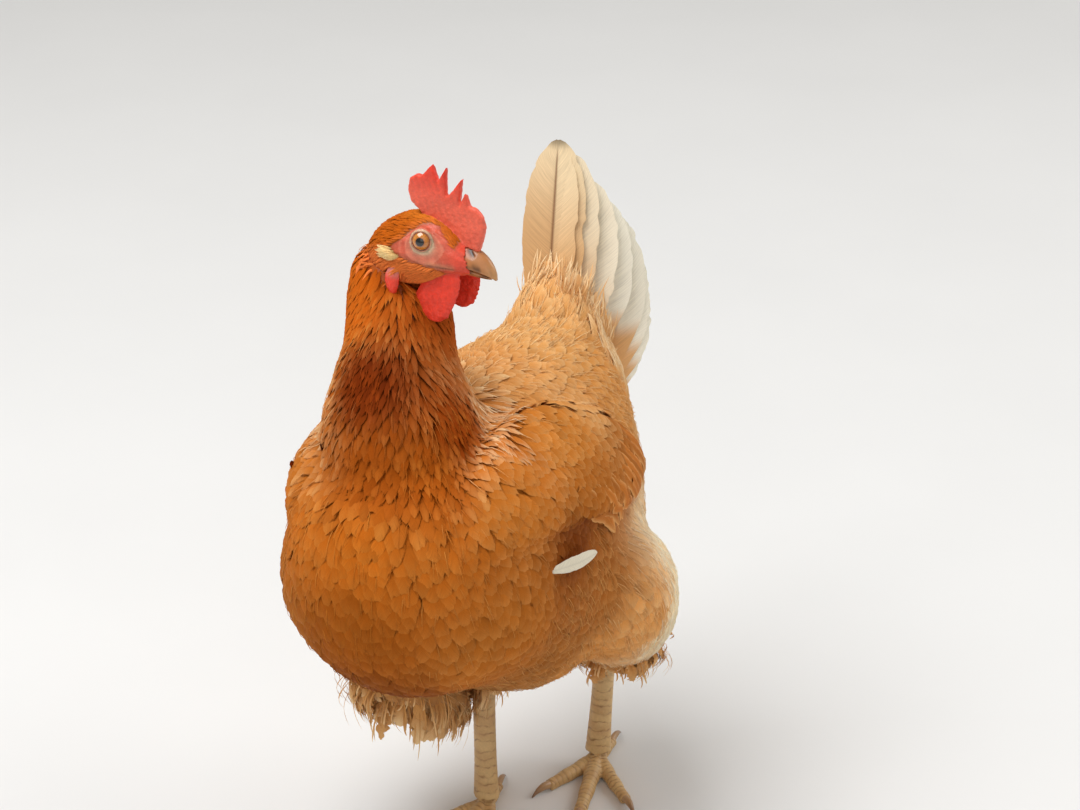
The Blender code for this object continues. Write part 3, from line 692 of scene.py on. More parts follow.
def grow(name, tree, roots, normals, root_uv, coat, flow, slot, steps=6, columns=7, outline="mixed", lift=1.0,
         streak=None, spread=0.05):
    """Feathers over the skin, in as many pieces as the limit on triangles needs."""
    n = len(roots)
    tags = rng.random(n)
    lengths = coat[:, LENGTH] * rng.uniform(0.88, 1.12, n)
    widths = coat[:, WIDTH] * rng.uniform(0.88, 1.12, n)
    depth = coat[:, DEPTH] * lift * rng.uniform(0.94, 1.06, n)
    yaw = np.radians(rng.normal(0, 5 + 9 * coat[:, FLUFF]))
    side = np.cross(normals, coat[:, LIE])
    lies = unit(coat[:, LIE] * np.cos(yaw)[:, None] + side * np.sin(yaw)[:, None])
    place, up, way = traced(tree, roots, normals, lies, lengths, steps, flow)
    s = np.linspace(0, 1, steps)[None]
    rise = depth[:, None] * (1 - (1 - s) ** 1.8 - TIP_DROP * smooth(0.6, 1, s))
    roll = rng.normal(0, 0.05, n)[:, None, None]
    up = unit(up + np.cross(way, up) * roll)
    if outline == "mixed":
        pointed = smooth(3.6, 2.4, coat[:, WIDTH])[:, None]
    else:
        pointed = np.full((n, 1), 1.0 if outline == "lance" else 0.0)
    shape = round_outline(s) * (1 - pointed) + lance_outline(s) * pointed
    u = np.abs(np.linspace(-1, 1, columns))[None]
    ends = 1 - (0.32 * u ** 2.2 * (1 - pointed) + (0.2 if columns > 3 else 0.0) * u * pointed)
    zigzag = (np.arange(columns) % 2)[None] * 0.6 + np.abs(rng.normal(size=(n, columns))) * 0.6
    ends = ends * (1 - FRAY * zigzag * (columns > 3))
    rings, along, shading = vane_points(place, up, way, widths[:, None] * shape, rise, ends,
                                        0.07 if columns > 3 else 0)
    colours = feather_colours(coat, along, spread, streak)
    aside = np.broadcast_to(np.tile(np.linspace(0, 1, columns), 2), along.shape)
    share = np.clip(coat[:, WIDTH] / BARBS_SPAN, 0.03, 1)[:, None, None]
    vane = np.stack((0.5 + (aside - 0.5) * share, along + 7 * tags[:, None, None]), axis=-1)
    bake = root_uv[:, None, None] + (np.stack((aside, along), axis=-1) - 0.5) * ROOT_PATCH
    parts = max(1, math.ceil(n * 4 * (columns - 1) * (steps - 1) / PIECE_LIMIT))
    for k, rows in enumerate(np.array_split(np.argsort(roots[:, 1]), parts)):
        title = name if parts == 1 else "%s_%d" % (name, k + 1)
        feather_mesh(title, rings[rows], shading[rows], colours[rows], bake[rows], vane[rows])


def plume_columns(columns):
    """Places across a plume from -1 to 1, close together at the shaft."""
    even = np.linspace(-1, 1, columns)
    return np.sign(even) * np.abs(even) ** 1.6


def plume(root, tip, half, lift, tree, bow=(0, 0, 0), facing=None, steps=44, columns=11,
          ragged=0.06, seed=0, thick=0.45):
    """One large feather with a raised shaft and a slightly ragged edge, from root to tip.  With a tree it lies
    over the skin at the height lift.  Without one it is flat in the air, its outer side towards facing."""
    s = np.linspace(0, 1, steps)
    root, tip = np.asarray(root, float), np.asarray(tip, float)
    centre = root + (tip - root) * s[:, None] + np.asarray(bow) * np.sin(math.pi * s)[:, None]
    if tree is not None:
        found = [tree.find_nearest(Vector(p)) for p in centre]
        up = unit(np.array([f[1] for f in found]))
        up = unit(up + up.mean(0) * 1.5)
        height = lift[0] + (lift[1] - lift[0]) * (1 - (1 - s) ** 1.6)
        centre = np.array([f[0] for f in found]) + up * height[:, None]
        for _ in range(6):
            centre[1:-1] = centre[1:-1] * 0.5 + (centre[:-2] + centre[2:]) * 0.25
    else:
        up = np.broadcast_to(unit(np.asarray(facing, float)), centre.shape)
    way = unit(np.gradient(centre, axis=0))
    up = unit(up - (up * way).sum(1, keepdims=True) * way)
    across = np.cross(way, up)
    wiggle = np.random.default_rng(seed)
    u = plume_columns(columns)
    edge = np.ones((2, steps))
    for side in range(2):
        bumps = np.interp(s, np.linspace(0, 1, 26), wiggle.normal(size=26))
        bumps = bumps + 0.25 * wiggle.normal(size=steps)
        edge[side] = 1 - ragged * np.clip(bumps, -0.5, 1.6) * smooth(0.15, 0.5, s)
    width = half * plume_outline(s)
    reach = np.where(u < 0, edge[0][:, None], edge[1][:, None]) * width[:, None] * u
    sweep = np.abs(u[None]) ** 1.5 * width[:, None] * 0.25
    flat = centre[:, None] + across[:, None] * reach[..., None] + way[:, None] * sweep[..., None]
    flat = flat - up[:, None] * (0.16 * width[:, None] * u[None] ** 2)[..., None]
    body = thick * (0.35 + 0.65 * np.exp(-(u / 0.12) ** 2)) * (np.abs(u) < 0.999)
    body = body[None] * ((1 - 0.5 * s) * (s < 1))[:, None]
    top = flat + up[:, None] * body[..., None]
    under = flat - up[:, None] * (0.5 * body)[..., None]
    soft = unit(up[:, None] + across[:, None] * (0.3 * u)[None, :, None])
    facing = np.broadcast_to(-up[:, None], soft.shape)
    return np.concatenate((top, under), axis=1), np.concatenate((soft, facing), axis=1)


def plume_piece(name, plumes, colour_of):
    """One mesh of several plumes; colour_of gives the colours from the plume's number, along and across."""
    rings, normals = (np.array(field) for field in zip(*plumes))
    n, steps, sides, _ = rings.shape
    s, u = np.meshgrid(np.linspace(0, 1, steps), np.tile(plume_columns(sides // 2), 2), indexing="ij")
    colours = np.array([colour_of(number, s.ravel(), u.ravel()) for number in range(n)])
    number = np.arange(n)[:, None, None]
    barbed = 0.02 if sides == 6 else 0.5        # a strand three columns wide shows hardly any barbs
    vane = np.stack(np.broadcast_arrays(u * barbed + 0.5, s * 4.5 + number * 7), axis=-1)
    bake = np.stack(np.broadcast_arrays(u / 2 + 0.5 + number % 6 * 1.1, s * 5 + number // 6 * 5.5), axis=-1) / 24
    return feather_mesh(name, rings, normals, colours, bake, vane)


# ---------------------------------------------------------------- materials

BARB_SLANT = -0.9           # how far the barbs lean towards the tip
BARB_SCALE = (34, 2.2, 1)   # how fine they are along the feather and across it


def material(name, roughness, specular=0.5):
    mat = bpy.data.materials.new(name)
    mat.use_nodes = True
    tree = mat.node_tree
    shader = tree.nodes["Principled BSDF"]
    shader.inputs["Roughness"].default_value = roughness
    shader.inputs["Specular IOR Level"].default_value = specular
    return mat, tree, shader


def node(tree, kind, **values):
    made = tree.nodes.new(kind)
    for key, value in values.items():
        if key in made.inputs:
            made.inputs[key].default_value = value
        else:
            setattr(made, key, value)
    return made


def painted(tree, shader, pattern, low, high):
    """Base colour from the mesh's own colours, made darker and lighter by a pattern from 0 to 1."""
    colour = node(tree, "ShaderNodeAttribute", attribute_name="Col")
    spread = node(tree, "ShaderNodeMapRange")
    spread.inputs["To Min"].default_value = low
    spread.inputs["To Max"].default_value = high
    tree.links.new(pattern, spread.inputs["Value"])
    scale = node(tree, "ShaderNodeVectorMath", operation="SCALE")
    tree.links.new(colour.outputs["Color"], scale.inputs[0])
    tree.links.new(spread.outputs["Result"], scale.inputs["Scale"])
    tree.links.new(scale.outputs["Vector"], shader.inputs["Base Color"])


def bumped(tree, shader, height, strength, distance):
    bump = node(tree, "ShaderNodeBump")
    bump.inputs["Strength"].default_value = strength
    bump.inputs["Distance"].default_value = distance * MM
    tree.links.new(height, bump.inputs["Height"])
    tree.links.new(bump.outputs["Normal"], shader.inputs["Normal"])


def feather_material():
    """Barbs that slant from the shaft to the edge, in colour and in relief."""
    mat, tree, shader = material("feather", 0.7, 0.04)
    link = tree.links.new
    uv = node(tree, "ShaderNodeUVMap", uv_map="vane")
    split = node(tree, "ShaderNodeSeparateXYZ")
    off = node(tree, "ShaderNodeMath", operation="SUBTRACT")
    off.inputs[1].default_value = 0.5
    aside = node(tree, "ShaderNodeMath", operation="ABSOLUTE")
    slant = node(tree, "ShaderNodeMath", operation="MULTIPLY_ADD")
    slant.inputs[1].default_value = BARB_SLANT
    join = node(tree, "ShaderNodeCombineXYZ")
    stretch = node(tree, "ShaderNodeMapping", Scale=BARB_SCALE)
    barbs = node(tree, "ShaderNodeTexNoise", Scale=1.0, Detail=2.0)
    link(uv.outputs["UV"], split.inputs[0])
    link(split.outputs["X"], off.inputs[0])
    link(off.outputs[0], aside.inputs[0])
    link(aside.outputs[0], slant.inputs[0])
    link(split.outputs["Y"], slant.inputs[2])
    link(slant.outputs[0], join.inputs["X"])
    link(off.outputs[0], join.inputs["Y"])
    link(join.outputs[0], stretch.inputs["Vector"])
    link(stretch.outputs[0], barbs.inputs["Vector"])
    painted(tree, shader, barbs.outputs["Fac"], 0.7, 1.26)
    bumped(tree, shader, barbs.outputs["Fac"], 0.3, 0.25)
    return mat


def flesh_material():
    """Finely pimpled skin."""
    mat, tree, shader = material("bare_skin", 0.42, 0.4)
    shader.inputs["Subsurface Weight"].default_value = 0.12
    shader.inputs["Subsurface Radius"].default_value = (1.0, 0.3, 0.2)
    shader.inputs["Subsurface Scale"].default_value = 0.003
    place = node(tree, "ShaderNodeTexCoord")
    pimples = node(tree, "ShaderNodeTexVoronoi", Scale=950.0)
    tree.links.new(place.outputs["Object"], pimples.inputs["Vector"])
    painted(tree, shader, pimples.outputs["Distance"], 1.05, 0.9)
    bumped(tree, shader, pimples.outputs["Distance"], 0.5, -0.3)
    return mat


def noisy_material(name, roughness, size, low, high, relief, coat=0.0):
    """A surface with a fine grain of this size in mm, in colour from low to high and in relief."""
    mat, tree, shader = material(name, roughness)
    shader.inputs["Coat Weight"].default_value = coat
    place = node(tree, "ShaderNodeTexCoord")
    grain = node(tree, "ShaderNodeTexNoise", Scale=1 / (size * MM), Detail=4.0)
    tree.links.new(place.outputs["Object"], grain.inputs["Vector"])
    painted(tree, shader, grain.outputs["Fac"], low, high)
    bumped(tree, shader, grain.outputs["Fac"], 0.4, relief)
    return mat


MATERIALS = {
    "feather": feather_material(),
    "flesh": flesh_material(),
    "horn": noisy_material("horn", 0.36, 1.6, 0.88, 1.12, 0.06, coat=0.15),
    "scales": noisy_material("scales", 0.5, 1.2, 0.82, 1.16, 0.12),
    "eye": noisy_material("eye", 0.08, 0.6, 0.94, 1.06, 0.0, coat=1.0),
}


def solid_piece(obj, finish, slot, *nodes):
    obj.data.materials.append(MATERIALS[finish])
    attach(obj, "root")
    if nodes:
        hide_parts(*nodes)
    return obj


# ---------------------------------------------------------------- eyes and bill

IRIS_EDGE, PUPIL_EDGE = 49, 20      # degrees from the eye's axis


def make_eye(side, centre, axis):
    """An eyeball with a slightly raised cornea, its pupil and iris painted by the angle from its axis."""
    angles = np.radians(np.concatenate((np.linspace(0.5, 60, 60), np.linspace(64, 179.5, 24))))
    turns = np.linspace(0, 2 * math.pi, 64, endpoint=False)
    first = unit(np.cross(axis, (0, 0, 1)))
    second = np.cross(axis, first)
    rings, colours = [], []
    pupil, rim = linear((8, 6, 6)), linear((60, 34, 18))
    iris, deep = linear((204, 128, 44)), linear((136, 66, 18))
    streaks = 1 + 0.12 * np.sin(turns * 23 + 1.3 * np.sin(turns * 7))
    for a in angles:
        d = math.degrees(a)
        raised = 0.35 * (1 - min(d / IRIS_EDGE, 1) ** 2)
        spoke = np.cos(turns)[:, None] * first + np.sin(turns)[:, None] * second
        rings.append(centre + (axis * math.cos(a) + spoke * math.sin(a)) * (EYE_RADIUS + raised))
        ringed = deep + (iris - deep) * np.exp(-((d - 33) / 13) ** 2)
        if d < PUPIL_EDGE:
            colours.append(np.tile(pupil, (len(turns), 1)))
        elif d > IRIS_EDGE:
            colours.append(np.tile(rim, (len(turns), 1)))
        else:
            colours.append(ringed[None] * streaks[:, None])
    points, faces = lofted(rings)
    obj = mesh_of("eye_ball_" + side, head_to_hen(points), faces, np.vstack(colours))
    return solid_piece(obj, "eye", "eye", "eye_" + side)


# Along the bill from its root: forward, height of its edge, half width, and from the edge to the ridge.
BEAK_UPPER = [(16, -9.4, 7.6, 8), (25, -9.9, 6.4, 7.6), (30.5, -11, 4.6, 6.2), (34.4, -12.6, 2.6, 3.6),
              (36.2, -14.4, 0.9, 1.1)]
BEAK_LOWER = [(15, -11.6, 6.6, 4.6), (24, -11.9, 5.2, 3.8), (30, -13.1, 3.0, 2.4), (33.4, -14, 1.2, 1)]
BEAK_SIDES = 72
NOSTRIL_AT = (22.6, -3.2)       # along the bill and up
NOSTRIL_TILT = -27              # degrees
NOSTRIL_LENGTH, NOSTRIL_WIDTH = 2.9, 0.95


def make_beak(name, stations, upper, node_name):
    """Half of the bill, with its stains and, on the upper half, the nostrils."""
    rows = spline(stations, 64)
    turns = np.linspace(0, 2 * math.pi, BEAK_SIDES, endpoint=False)
    cosine, sine = np.cos(turns), np.sin(turns)
    rings = []
    for x, z, half, reach in rows:
        reach_up, reach_down = (reach, reach * 0.2) if upper else (reach * 0.3, reach)
        ridge = 1 - 0.22 * np.clip(sine, 0, 1) ** 2 if upper else 1 - 0.15 * np.clip(-sine, 0, 1) ** 2
        y = half * cosine * ridge
        height = z + np.where(sine > 0, reach_up, reach_down) * sine
        rings.append(np.stack((np.full(BEAK_SIDES, x), y, height), 1))
    points, faces = lofted(rings)
    x, y, z = points.T
    edge = np.interp(x, [r[0] for r in stations], [r[1] for r in stations])
    base, warm, pale = linear((176, 92, 60)), linear((178, 116, 66)), linear((206, 160, 108))
    dark = linear((66, 40, 28))
    colour = blend(base, warm, smooth(18, 26, x)[:, None])
    colour = blend(colour, pale, 0.5 * smooth(30, 36, x)[:, None])
    off_edge = z - edge - (1.2 if upper else -1)
    stain = smooth(-0.5, 0.5, wave_noise(points, 5, 4)) * np.exp(-(off_edge / 1.7) ** 2)
    stain = np.clip(stain * smooth(20, 23, x) * smooth(36, 32, x), 0, 1)[:, None]
    colour = blend(colour, dark, 0.75 * stain)
    if upper:
        tilt = math.radians(NOSTRIL_TILT)
        u = (x - NOSTRIL_AT[0]) * math.cos(tilt) + (z - NOSTRIL_AT[1]) * math.sin(tilt)
        v = -(x - NOSTRIL_AT[0]) * math.sin(tilt) + (z - NOSTRIL_AT[1]) * math.cos(tilt)
        slit = np.exp(-(u / NOSTRIL_LENGTH) ** 4 - (v / NOSTRIL_WIDTH) ** 2)
        flap = np.exp(-(u / NOSTRIL_LENGTH / 1.3) ** 4 - ((v - 1.7) / 1.3) ** 2)
        y = y * (1 + (0.5 * flap - 1.1 * slit) / np.maximum(np.abs(y), 1.5))
        points = np.stack((x, y, z), 1)
        colour = blend(colour, linear((150, 96, 76)), 0.5 * flap[:, None])
        # painted shade: the nostril's slit is painted near black, for the shade inside the opening
        colour = blend(colour, linear((30, 18, 14)), slit[:, None])
    obj = mesh_of(name, head_to_hen(points), faces, colour)
    return solid_piece(obj, "horn", "horn", node_name)


# ---------------------------------------------------------------- legs

LEGS = {
    "left": {"ankle": (30, 80), "hock": (29, 94, 92), "toe_turn": 14},
    "right": {"ankle": (-7, 11), "hock": (-15, 24, 88), "toe_turn": -3},
}
SHANK_FOOT = 10
SHANK_RADII = [(7.4, 6.6), (6.5, 6.2), (6.1, 6.6), (6.2, 7.4), (7.4, 8.2)]
# Toes: turn outwards in degrees, length without the claw, radius, lift at the root.
TOES = {"middle": (0, 52, 5.4, 0.8), "inner": (-36, 38, 5.0, 0.8), "outer": (33, 42, 4.8, 0.8),
        "hind": (168, 22, 4.2, 2.4)}
TOE_ON_FLOOR, TOE_TAPER, TOE_FLAT, CLAW_LENGTH = 0.3, 0.34, 0.86, 13
CLAW = [(-0.2, 3.2, 1, 1), (0.35, 4.1, 0.85, 0.9), (0.72, 3, 0.5, 0.6), (1, 0.7, 0.14, 0.18)]
SCUTE_STEP, TOE_SCUTE_STEP = 5.0, 3.3   # spacing of the scales down the shank and along the toes
SCUTE_GROOVE, SCUTE_RELIEF = 0.34, 0.12
SHANK_RADIUS = 6.8
CLAW_RINGS, CLAW_SIDES = 16, 14
LEG_VOXEL = 0.62


def ellipses(centres, aside, up, wide, deep, sides):
    turns = np.linspace(0, 2 * math.pi, sides, endpoint=False)
    return [c + np.cos(turns)[:, None] * aside * w + np.sin(turns)[:, None] * up * d
            for c, w, d in zip(centres, wide, deep)]


def joined(bodies):
    """Points and faces of several closed bodies, each given by its rings."""
    points, faces = [], []
    for rings in bodies:
        p, f = lofted(rings)
        base = sum(len(q) for q in points)
        points.append(p)
        faces += [tuple(base + i for i in face) for face in f]
    return np.vstack(points), faces


def leg_bodies(side, sign):
    """Rings of the shank and toes, the axis of each (start, end, way its plates face, radius, spacing of its
    scales), and rings of the claws."""
    leg = LEGS[side]
    foot, hock = np.array((*leg["ankle"], SHANK_FOOT), float), np.array(leg["hock"], float)
    top = hock + (hock - foot) * 0.04
    turn = math.radians(leg["toe_turn"])
    aside = np.array((math.cos(turn), math.sin(turn), 0))
    front = unit(np.cross(aside, unit(top - foot)))
    t = np.linspace(0, 1, 40)[:, None]
    radii = spline(SHANK_RADII, 40)
    bodies = [ellipses(foot + (top - foot) * t, aside, front, radii[:, 0], radii[:, 1], 28)]
    axes = [(foot, top, front, SHANK_RADIUS, SCUTE_STEP)]
    claws = []
    ankle, up = np.array((*leg["ankle"], 0), float), np.array((0, 0, 1.0))
    s = np.linspace(0, 1, 30)
    for toe, (spread, length, radius, rise) in TOES.items():
        course = turn - math.pi / 2 + math.radians(spread) * sign
        ahead = np.array((math.cos(course), math.sin(course), 0))
        across = np.array((-math.sin(course), math.cos(course), 0))
        pads = 1 + 0.05 * np.cos(s * math.pi * 2 * (2 if toe == "hind" else 3) + 0.4)
        size = radius * (1 - TOE_TAPER * s) * pads
        height = radius * (1 - TOE_TAPER * s) * TOE_FLAT + rise * np.clip(1 - s / TOE_ON_FLOOR, 0, 1)
        path = ankle + ahead * (length * s)[:, None] + up * height[:, None]
        rings = ellipses(path, across, up, size, size * 0.98, 20)
        bodies.append([np.stack((r[:, 0], r[:, 1], np.maximum(r[:, 2], 0.02)), 1) for r in rings])
        axes.append((path[0], path[-1], up, radius, TOE_SCUTE_STEP))
        rows = spline(CLAW, CLAW_RINGS)
        claw_path = ankle + ahead * (length + CLAW_LENGTH * rows[:, :1]) + up * rows[:, 1:2]
        wide, deep = radius / 2 * rows[:, 2], radius / 2 * rows[:, 3]
        claws.append(ellipses(claw_path, across, up, wide, deep, CLAW_SIDES))
    return bodies, axes, claws


def scale_pattern(p, normal, axes):
    """For each point of a leg: place within its scale, 1 on the line between scales, 1 on the plated side."""
    best = np.full(len(p), 1e9)
    travel, dorsal, step = np.zeros(len(p)), np.zeros(len(p)), np.full(len(p), SCUTE_STEP)
    for start, end, outer, radius, pitch in axes:
        line = end - start
        t = np.clip((p - start) @ line / (line @ line), 0, 1)
        distance = np.linalg.norm(p - start - t[:, None] * line, axis=1) / radius
        nearer = distance < best
        best = np.where(nearer, distance, best)
        travel = np.where(nearer, t * np.linalg.norm(line), travel)
        dorsal = np.where(nearer, normal @ outer, dorsal)
        step = np.where(nearer, pitch, step)
    place = travel / step + 0.22 * wave_noise(p, 9, 5) + 0.1 * wave_noise(p, 4, 6)
    share = place - np.floor(place)
    ring_line = np.exp(-((np.minimum(share, 1 - share) * step) / 0.42) ** 2)
    return share, ring_line, smooth(-0.35, 0.1, dorsal)


def make_leg(side, sign):
    """A shank with its toes, scaled in relief and colour, and their claws."""
    bodies, axes, claws = leg_bodies(side, sign)
    obj = mesh_of("leg_" + side, *joined(bodies))
    remesh = obj.modifiers.new("surface", "REMESH")
    remesh.mode = "VOXEL"
    remesh.voxel_size = LEG_VOXEL * MM
    blur = obj.modifiers.new("smooth", "SMOOTH")
    blur.iterations = 4
    applied(obj)
    smooth_shaded(obj.data)
    p = to_hen(corners(obj.data))
    normal = vertex_normals(obj.data)
    share, ring_line, plate = scale_pattern(p, normal, axes)
    small = 0.5 * wave_noise(p, 2.2, 8)
    lower = -SCUTE_GROOVE * ring_line * plate + SCUTE_RELIEF * ((1 - share) * plate + small * (1 - plate))
    p = p + normal * lower[:, None]
    p[:, 2] = np.maximum(p[:, 2], 0.01)
    set_corners(obj.data, to_row(p))
    shade = 0.5 * smooth(-0.8, 0.8, wave_noise(p, 14, 9))[:, None]
    colour = blend(linear((208, 172, 118)), linear((186, 142, 92)), shade)
    mark = np.clip(ring_line * plate * (0.45 + 0.35 * wave_noise(p, 6, 10)), 0, 0.85)
    paint(obj.data, blend(colour, linear((128, 82, 46)), mark[:, None]))
    solid_piece(obj, "scales", "scaly_skin", "shank_" + side, *["toe_%s_%s" % (side, toe) for toe in TOES])
    tip = np.tile(np.repeat(np.linspace(0, 1, CLAW_RINGS), CLAW_SIDES), len(claws))[:, None]
    colours = blend(linear((190, 150, 106)), linear((120, 84, 58)), tip)
    claw = mesh_of("claws_" + side, *joined(claws), colours)
    solid_piece(claw, "horn", "horn", *["claw_%s_%s" % (side, toe) for toe in TOES])


# ---------------------------------------------------------------- tail and wings

# Tail feathers of each side from the middle outwards: root, tip, half width, bow.
TAIL_PLUMES = {
    "left": [((-2, 76, 260), (-22, 133, 359), 17, (0, 0, 0)), ((2, 80, 256), (-13, 135, 351), 15, (2, 0, 0)),
             ((6, 86, 250), (-5, 137, 337), 16, (4, 2, 0)), ((11, 98, 242), (0, 138, 327), 16, (4, 6, 0)),
             ((17, 112, 228), (5, 139, 320), 15, (4, 9, 0)), ((18, 108, 224), (11, 140, 302), 14, (5, 11, 0)),
             ((19, 106, 220), (17, 140, 284), 12, (5, 11, 0)), ((20, 102, 216), (21, 138, 264), 9, (4, 9, 0))],
    "right": [((-5, 76, 260), (-23, 134, 357), 15, (0, 0, 0)), ((-10, 82, 254), (-28, 137, 342), 14, (-2, 2, 0)),
              ((-18, 96, 246), (-31, 140, 332), 13, (-2, 5, 0)), ((-24, 108, 238), (-35, 143, 320), 12, (-2, 8, 0)),
              ((-28, 112, 230), (-37, 146, 303), 11, (-3, 9, 0)), ((-29, 108, 224), (-37, 147, 285), 10, (-3, 9, 0)),
              ((-30, 104, 218), (-36, 146, 266), 9, (-3, 8, 0))],
}
# Roots of the coverts over the tail's base, left side, from the top down; the right side mirrors them.
COVERT_ROOTS = [(1, 88, 284), (6, 92, 288), (10, 97, 280), (14, 101, 272), (17, 104, 262), (19, 106, 251),
                (20, 107, 240)]
COVERT_RUN = np.array((-3, 10, 17))     # from root to tip of the longest
COVERTS = 50            # on each side
SILKS = 11              # soft strands at each covert
COVERT_MIDDLE = -4      # across the hen, where the two sides meet
TAIL_LAYER = 0.5        # how far each tail feather lies under the one before


def tail_colour(number, s, u):
    tan, cream, white = linear((210, 162, 108)), linear((230, 208, 170)), linear((246, 240, 222))
    outer = min(number / 3, 1)
    pale = cream * (1 - outer) + white * outer
    colour = blend(tan, pale, smooth(0.35 * (1 - outer) - 0.1, 0.9 - 0.55 * outer, s)[:, None])
    if number < 2:
        inner = 0.7 * (smooth(0.1, -0.1, u) * smooth(1.1, 0.5, s))[:, None]
        colour = blend(colour, linear((196, 152, 104)), inner)
    shaft = (np.exp(-(u / 0.05) ** 2) * smooth(1, 0.9, s))[:, None] * (0.85 if number == 0 else 0.4)
    colour = blend(colour, linear((112, 72, 46)), shaft)
    colour = blend(colour, linear((222, 166, 104)), 0.9 * smooth(0.36, 0.24, s)[:, None])
    if number == 0:
        colour = blend(colour, linear((96, 84, 66)), 0.75 * smooth(0.94, 1, s)[:, None])
    return colour


def covert_colour(number, s, u):
    mix = (smooth(0.3, 0.95, s) * 0.7 + 0.3 * np.abs(u) ** 2 * smooth(0.3, 0.7, s))[:, None]
    mix = np.clip(mix * (0.7 + 0.5 * math.sin(number * 1.9)), 0, 1)
    return blend(linear((224, 170, 108)), linear((246, 220, 176)), mix)


def make_tail():
    """The tail's fan of each side, the coverts over its base and the soft strands among them."""
    for side, sign in (("left", 1), ("right", -1)):
        plumes = []
        for i, (root, tip, half, bow) in enumerate(TAIL_PLUMES[side]):
            share = i / 6
            facing = unit(np.array((sign * (0.15 + 0.5 * share), -0.8 + 0.15 * share, 0.58 - 0.2 * share)))
            under = facing * TAIL_LAYER * i
            plumes.append(plume(np.array(root) - under, np.array(tip) - under, half, None, None, bow, facing,
                                seed=20 + i, ragged=0.05, steps=60))
        obj = plume_piece("tail_fan_" + side, plumes, tail_colour)
        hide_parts("tail_" + side)
        coverts, silk, chance = [], [], np.random.default_rng(31)
        for x, y, z in spline(COVERT_ROOTS, COVERTS):
            share = (284 - z) / 44
            layer = chance.uniform(0, 1)
            out = x - COVERT_MIDDLE - 5 * layer
            root = np.array((COVERT_MIDDLE + out * sign, y - 5 * layer, z + 3 * layer))
            root = root + chance.normal(0, 1.2, 3) - (0, 0, chance.uniform(2, 9))
            facing = np.array((sign * (0.35 + 0.5 * share), -0.75, 0.5 - 0.3 * share))
            facing = unit(facing + chance.normal(0, 0.12, 3))
            root = root + facing * (0.5 + 1.5 * layer)
            run = COVERT_RUN * chance.uniform(0.5, 1.0) * (1 if sign > 0 else (0.2, 1, 1))
            run = run + chance.normal(0, 3, 3)
            coverts.append(plume(root, root + run, chance.uniform(1.6, 3.2), None, None, facing, facing,
                                 seed=80 + len(coverts), ragged=0.3, steps=14, columns=7, thick=0.1))
            for _ in range(SILKS):
                start = root + facing * chance.uniform(0, 1.5) + chance.normal(0, 2, 3)
                along = run * chance.uniform(0.8, 1.4) + chance.normal(0, 2, 3)
                silk.append(plume(start, start + along, chance.uniform(0.2, 0.45), None, None,
                                  facing * chance.uniform(0.5, 2) + chance.normal(0, 0.8, 3), facing,
                                  seed=900 + len(silk), ragged=0.1, steps=8, columns=3, thick=0.1))
        plume_piece("tail_silk_" + side, silk, covert_colour)
        plume_piece("tail_cover_" + side, coverts, covert_colour)


# The longest wing feathers: their ends along the wing's rear edge, the way back to their roots, and how many.
LONG_TIPS = [(77, 2, 206), (76, 18, 206), (74, 34, 208), (70, 48, 211), (64, 60, 217)]
LONG_TO_ROOT = (-13, -44, 46)
LONG_QUILLS = 16
LOOSE_FEATHER = (72, -72, 219), (78, -31, 212), 4      # root, tip and half width of the white one at the left wing


def wing_colour(number, s, u):
    base, light = linear((186, 110, 44)), linear((228, 170, 106))
    tone = 1 + 0.16 * math.sin(number * 2.7)
    edge = np.clip(smooth(0.4, 1, np.abs(u)) * 0.8 + smooth(0.8, 1, s) * 0.4, 0, 1)[:, None]
    colour = blend(base * tone, light, edge)
    colour = blend(colour, linear((150, 80, 36)), 0.3 * np.exp(-(u / 0.08) ** 2)[:, None])
    # painted shade: darker towards the root, where the coverts over it shade it
    return colour * (0.7 + 0.3 * smooth(0, 0.5, s))[:, None]


def white_colour(number, s, u):
    return linear((232, 222, 200))[None] * (1 - 0.12 * np.exp(-(u / 0.1) ** 2))[:, None]


def make_wing_plumes(tree):
    """The longest feathers of each wing, and one loose white one."""
    for side, sign in (("left", 1), ("right", -1)):
        flip = np.array((sign, 1, 1))
        plumes = []
        chance = np.random.default_rng(41)
        for i, tip in enumerate(spline(LONG_TIPS, LONG_QUILLS)):
            root = (tip + np.array(LONG_TO_ROOT) * chance.uniform(0.85, 1.1) + chance.normal(0, 1.5, 3)) * flip
            tip = tip + chance.normal(0, 1.5, 3)
            plumes.append(plume(root, tip * flip, chance.uniform(2.8, 4.2), (2.5, 5.6 - 0.05 * i), tree,
                                seed=40 + i, steps=34, ragged=0.18, thick=0.3, columns=9))
        plume_piece("wing_quills_" + side, plumes, wing_colour)
    white = [plume(*LOOSE_FEATHER, (2, 10.5), tree, seed=60, steps=36, ragged=0.03)]
    plume_piece("loose_feather", white, white_colour)


# Loose feathers round the top of each shank: middle, radius, how many, and how far they hang.
SKIRTS = {"right": ((-40, -14, 86), 36, 120, 20), "left": ((46, 70, 92), 17, 70, 10),
          "hock_left": ((30, 93, 97), 9, 40, 15), "hock_right": ((-14, 23, 93), 9, 40, 13)}
SKIRT_STRANDS = 4       # soft strands at each of them


def skirt_colour(number, s, u):
    mix = smooth(0.2, 1, s)[:, None] * (0.6 + 0.4 * math.sin(number * 2.1))
    return blend(linear((204, 146, 84)), linear((240, 208, 158)), mix)


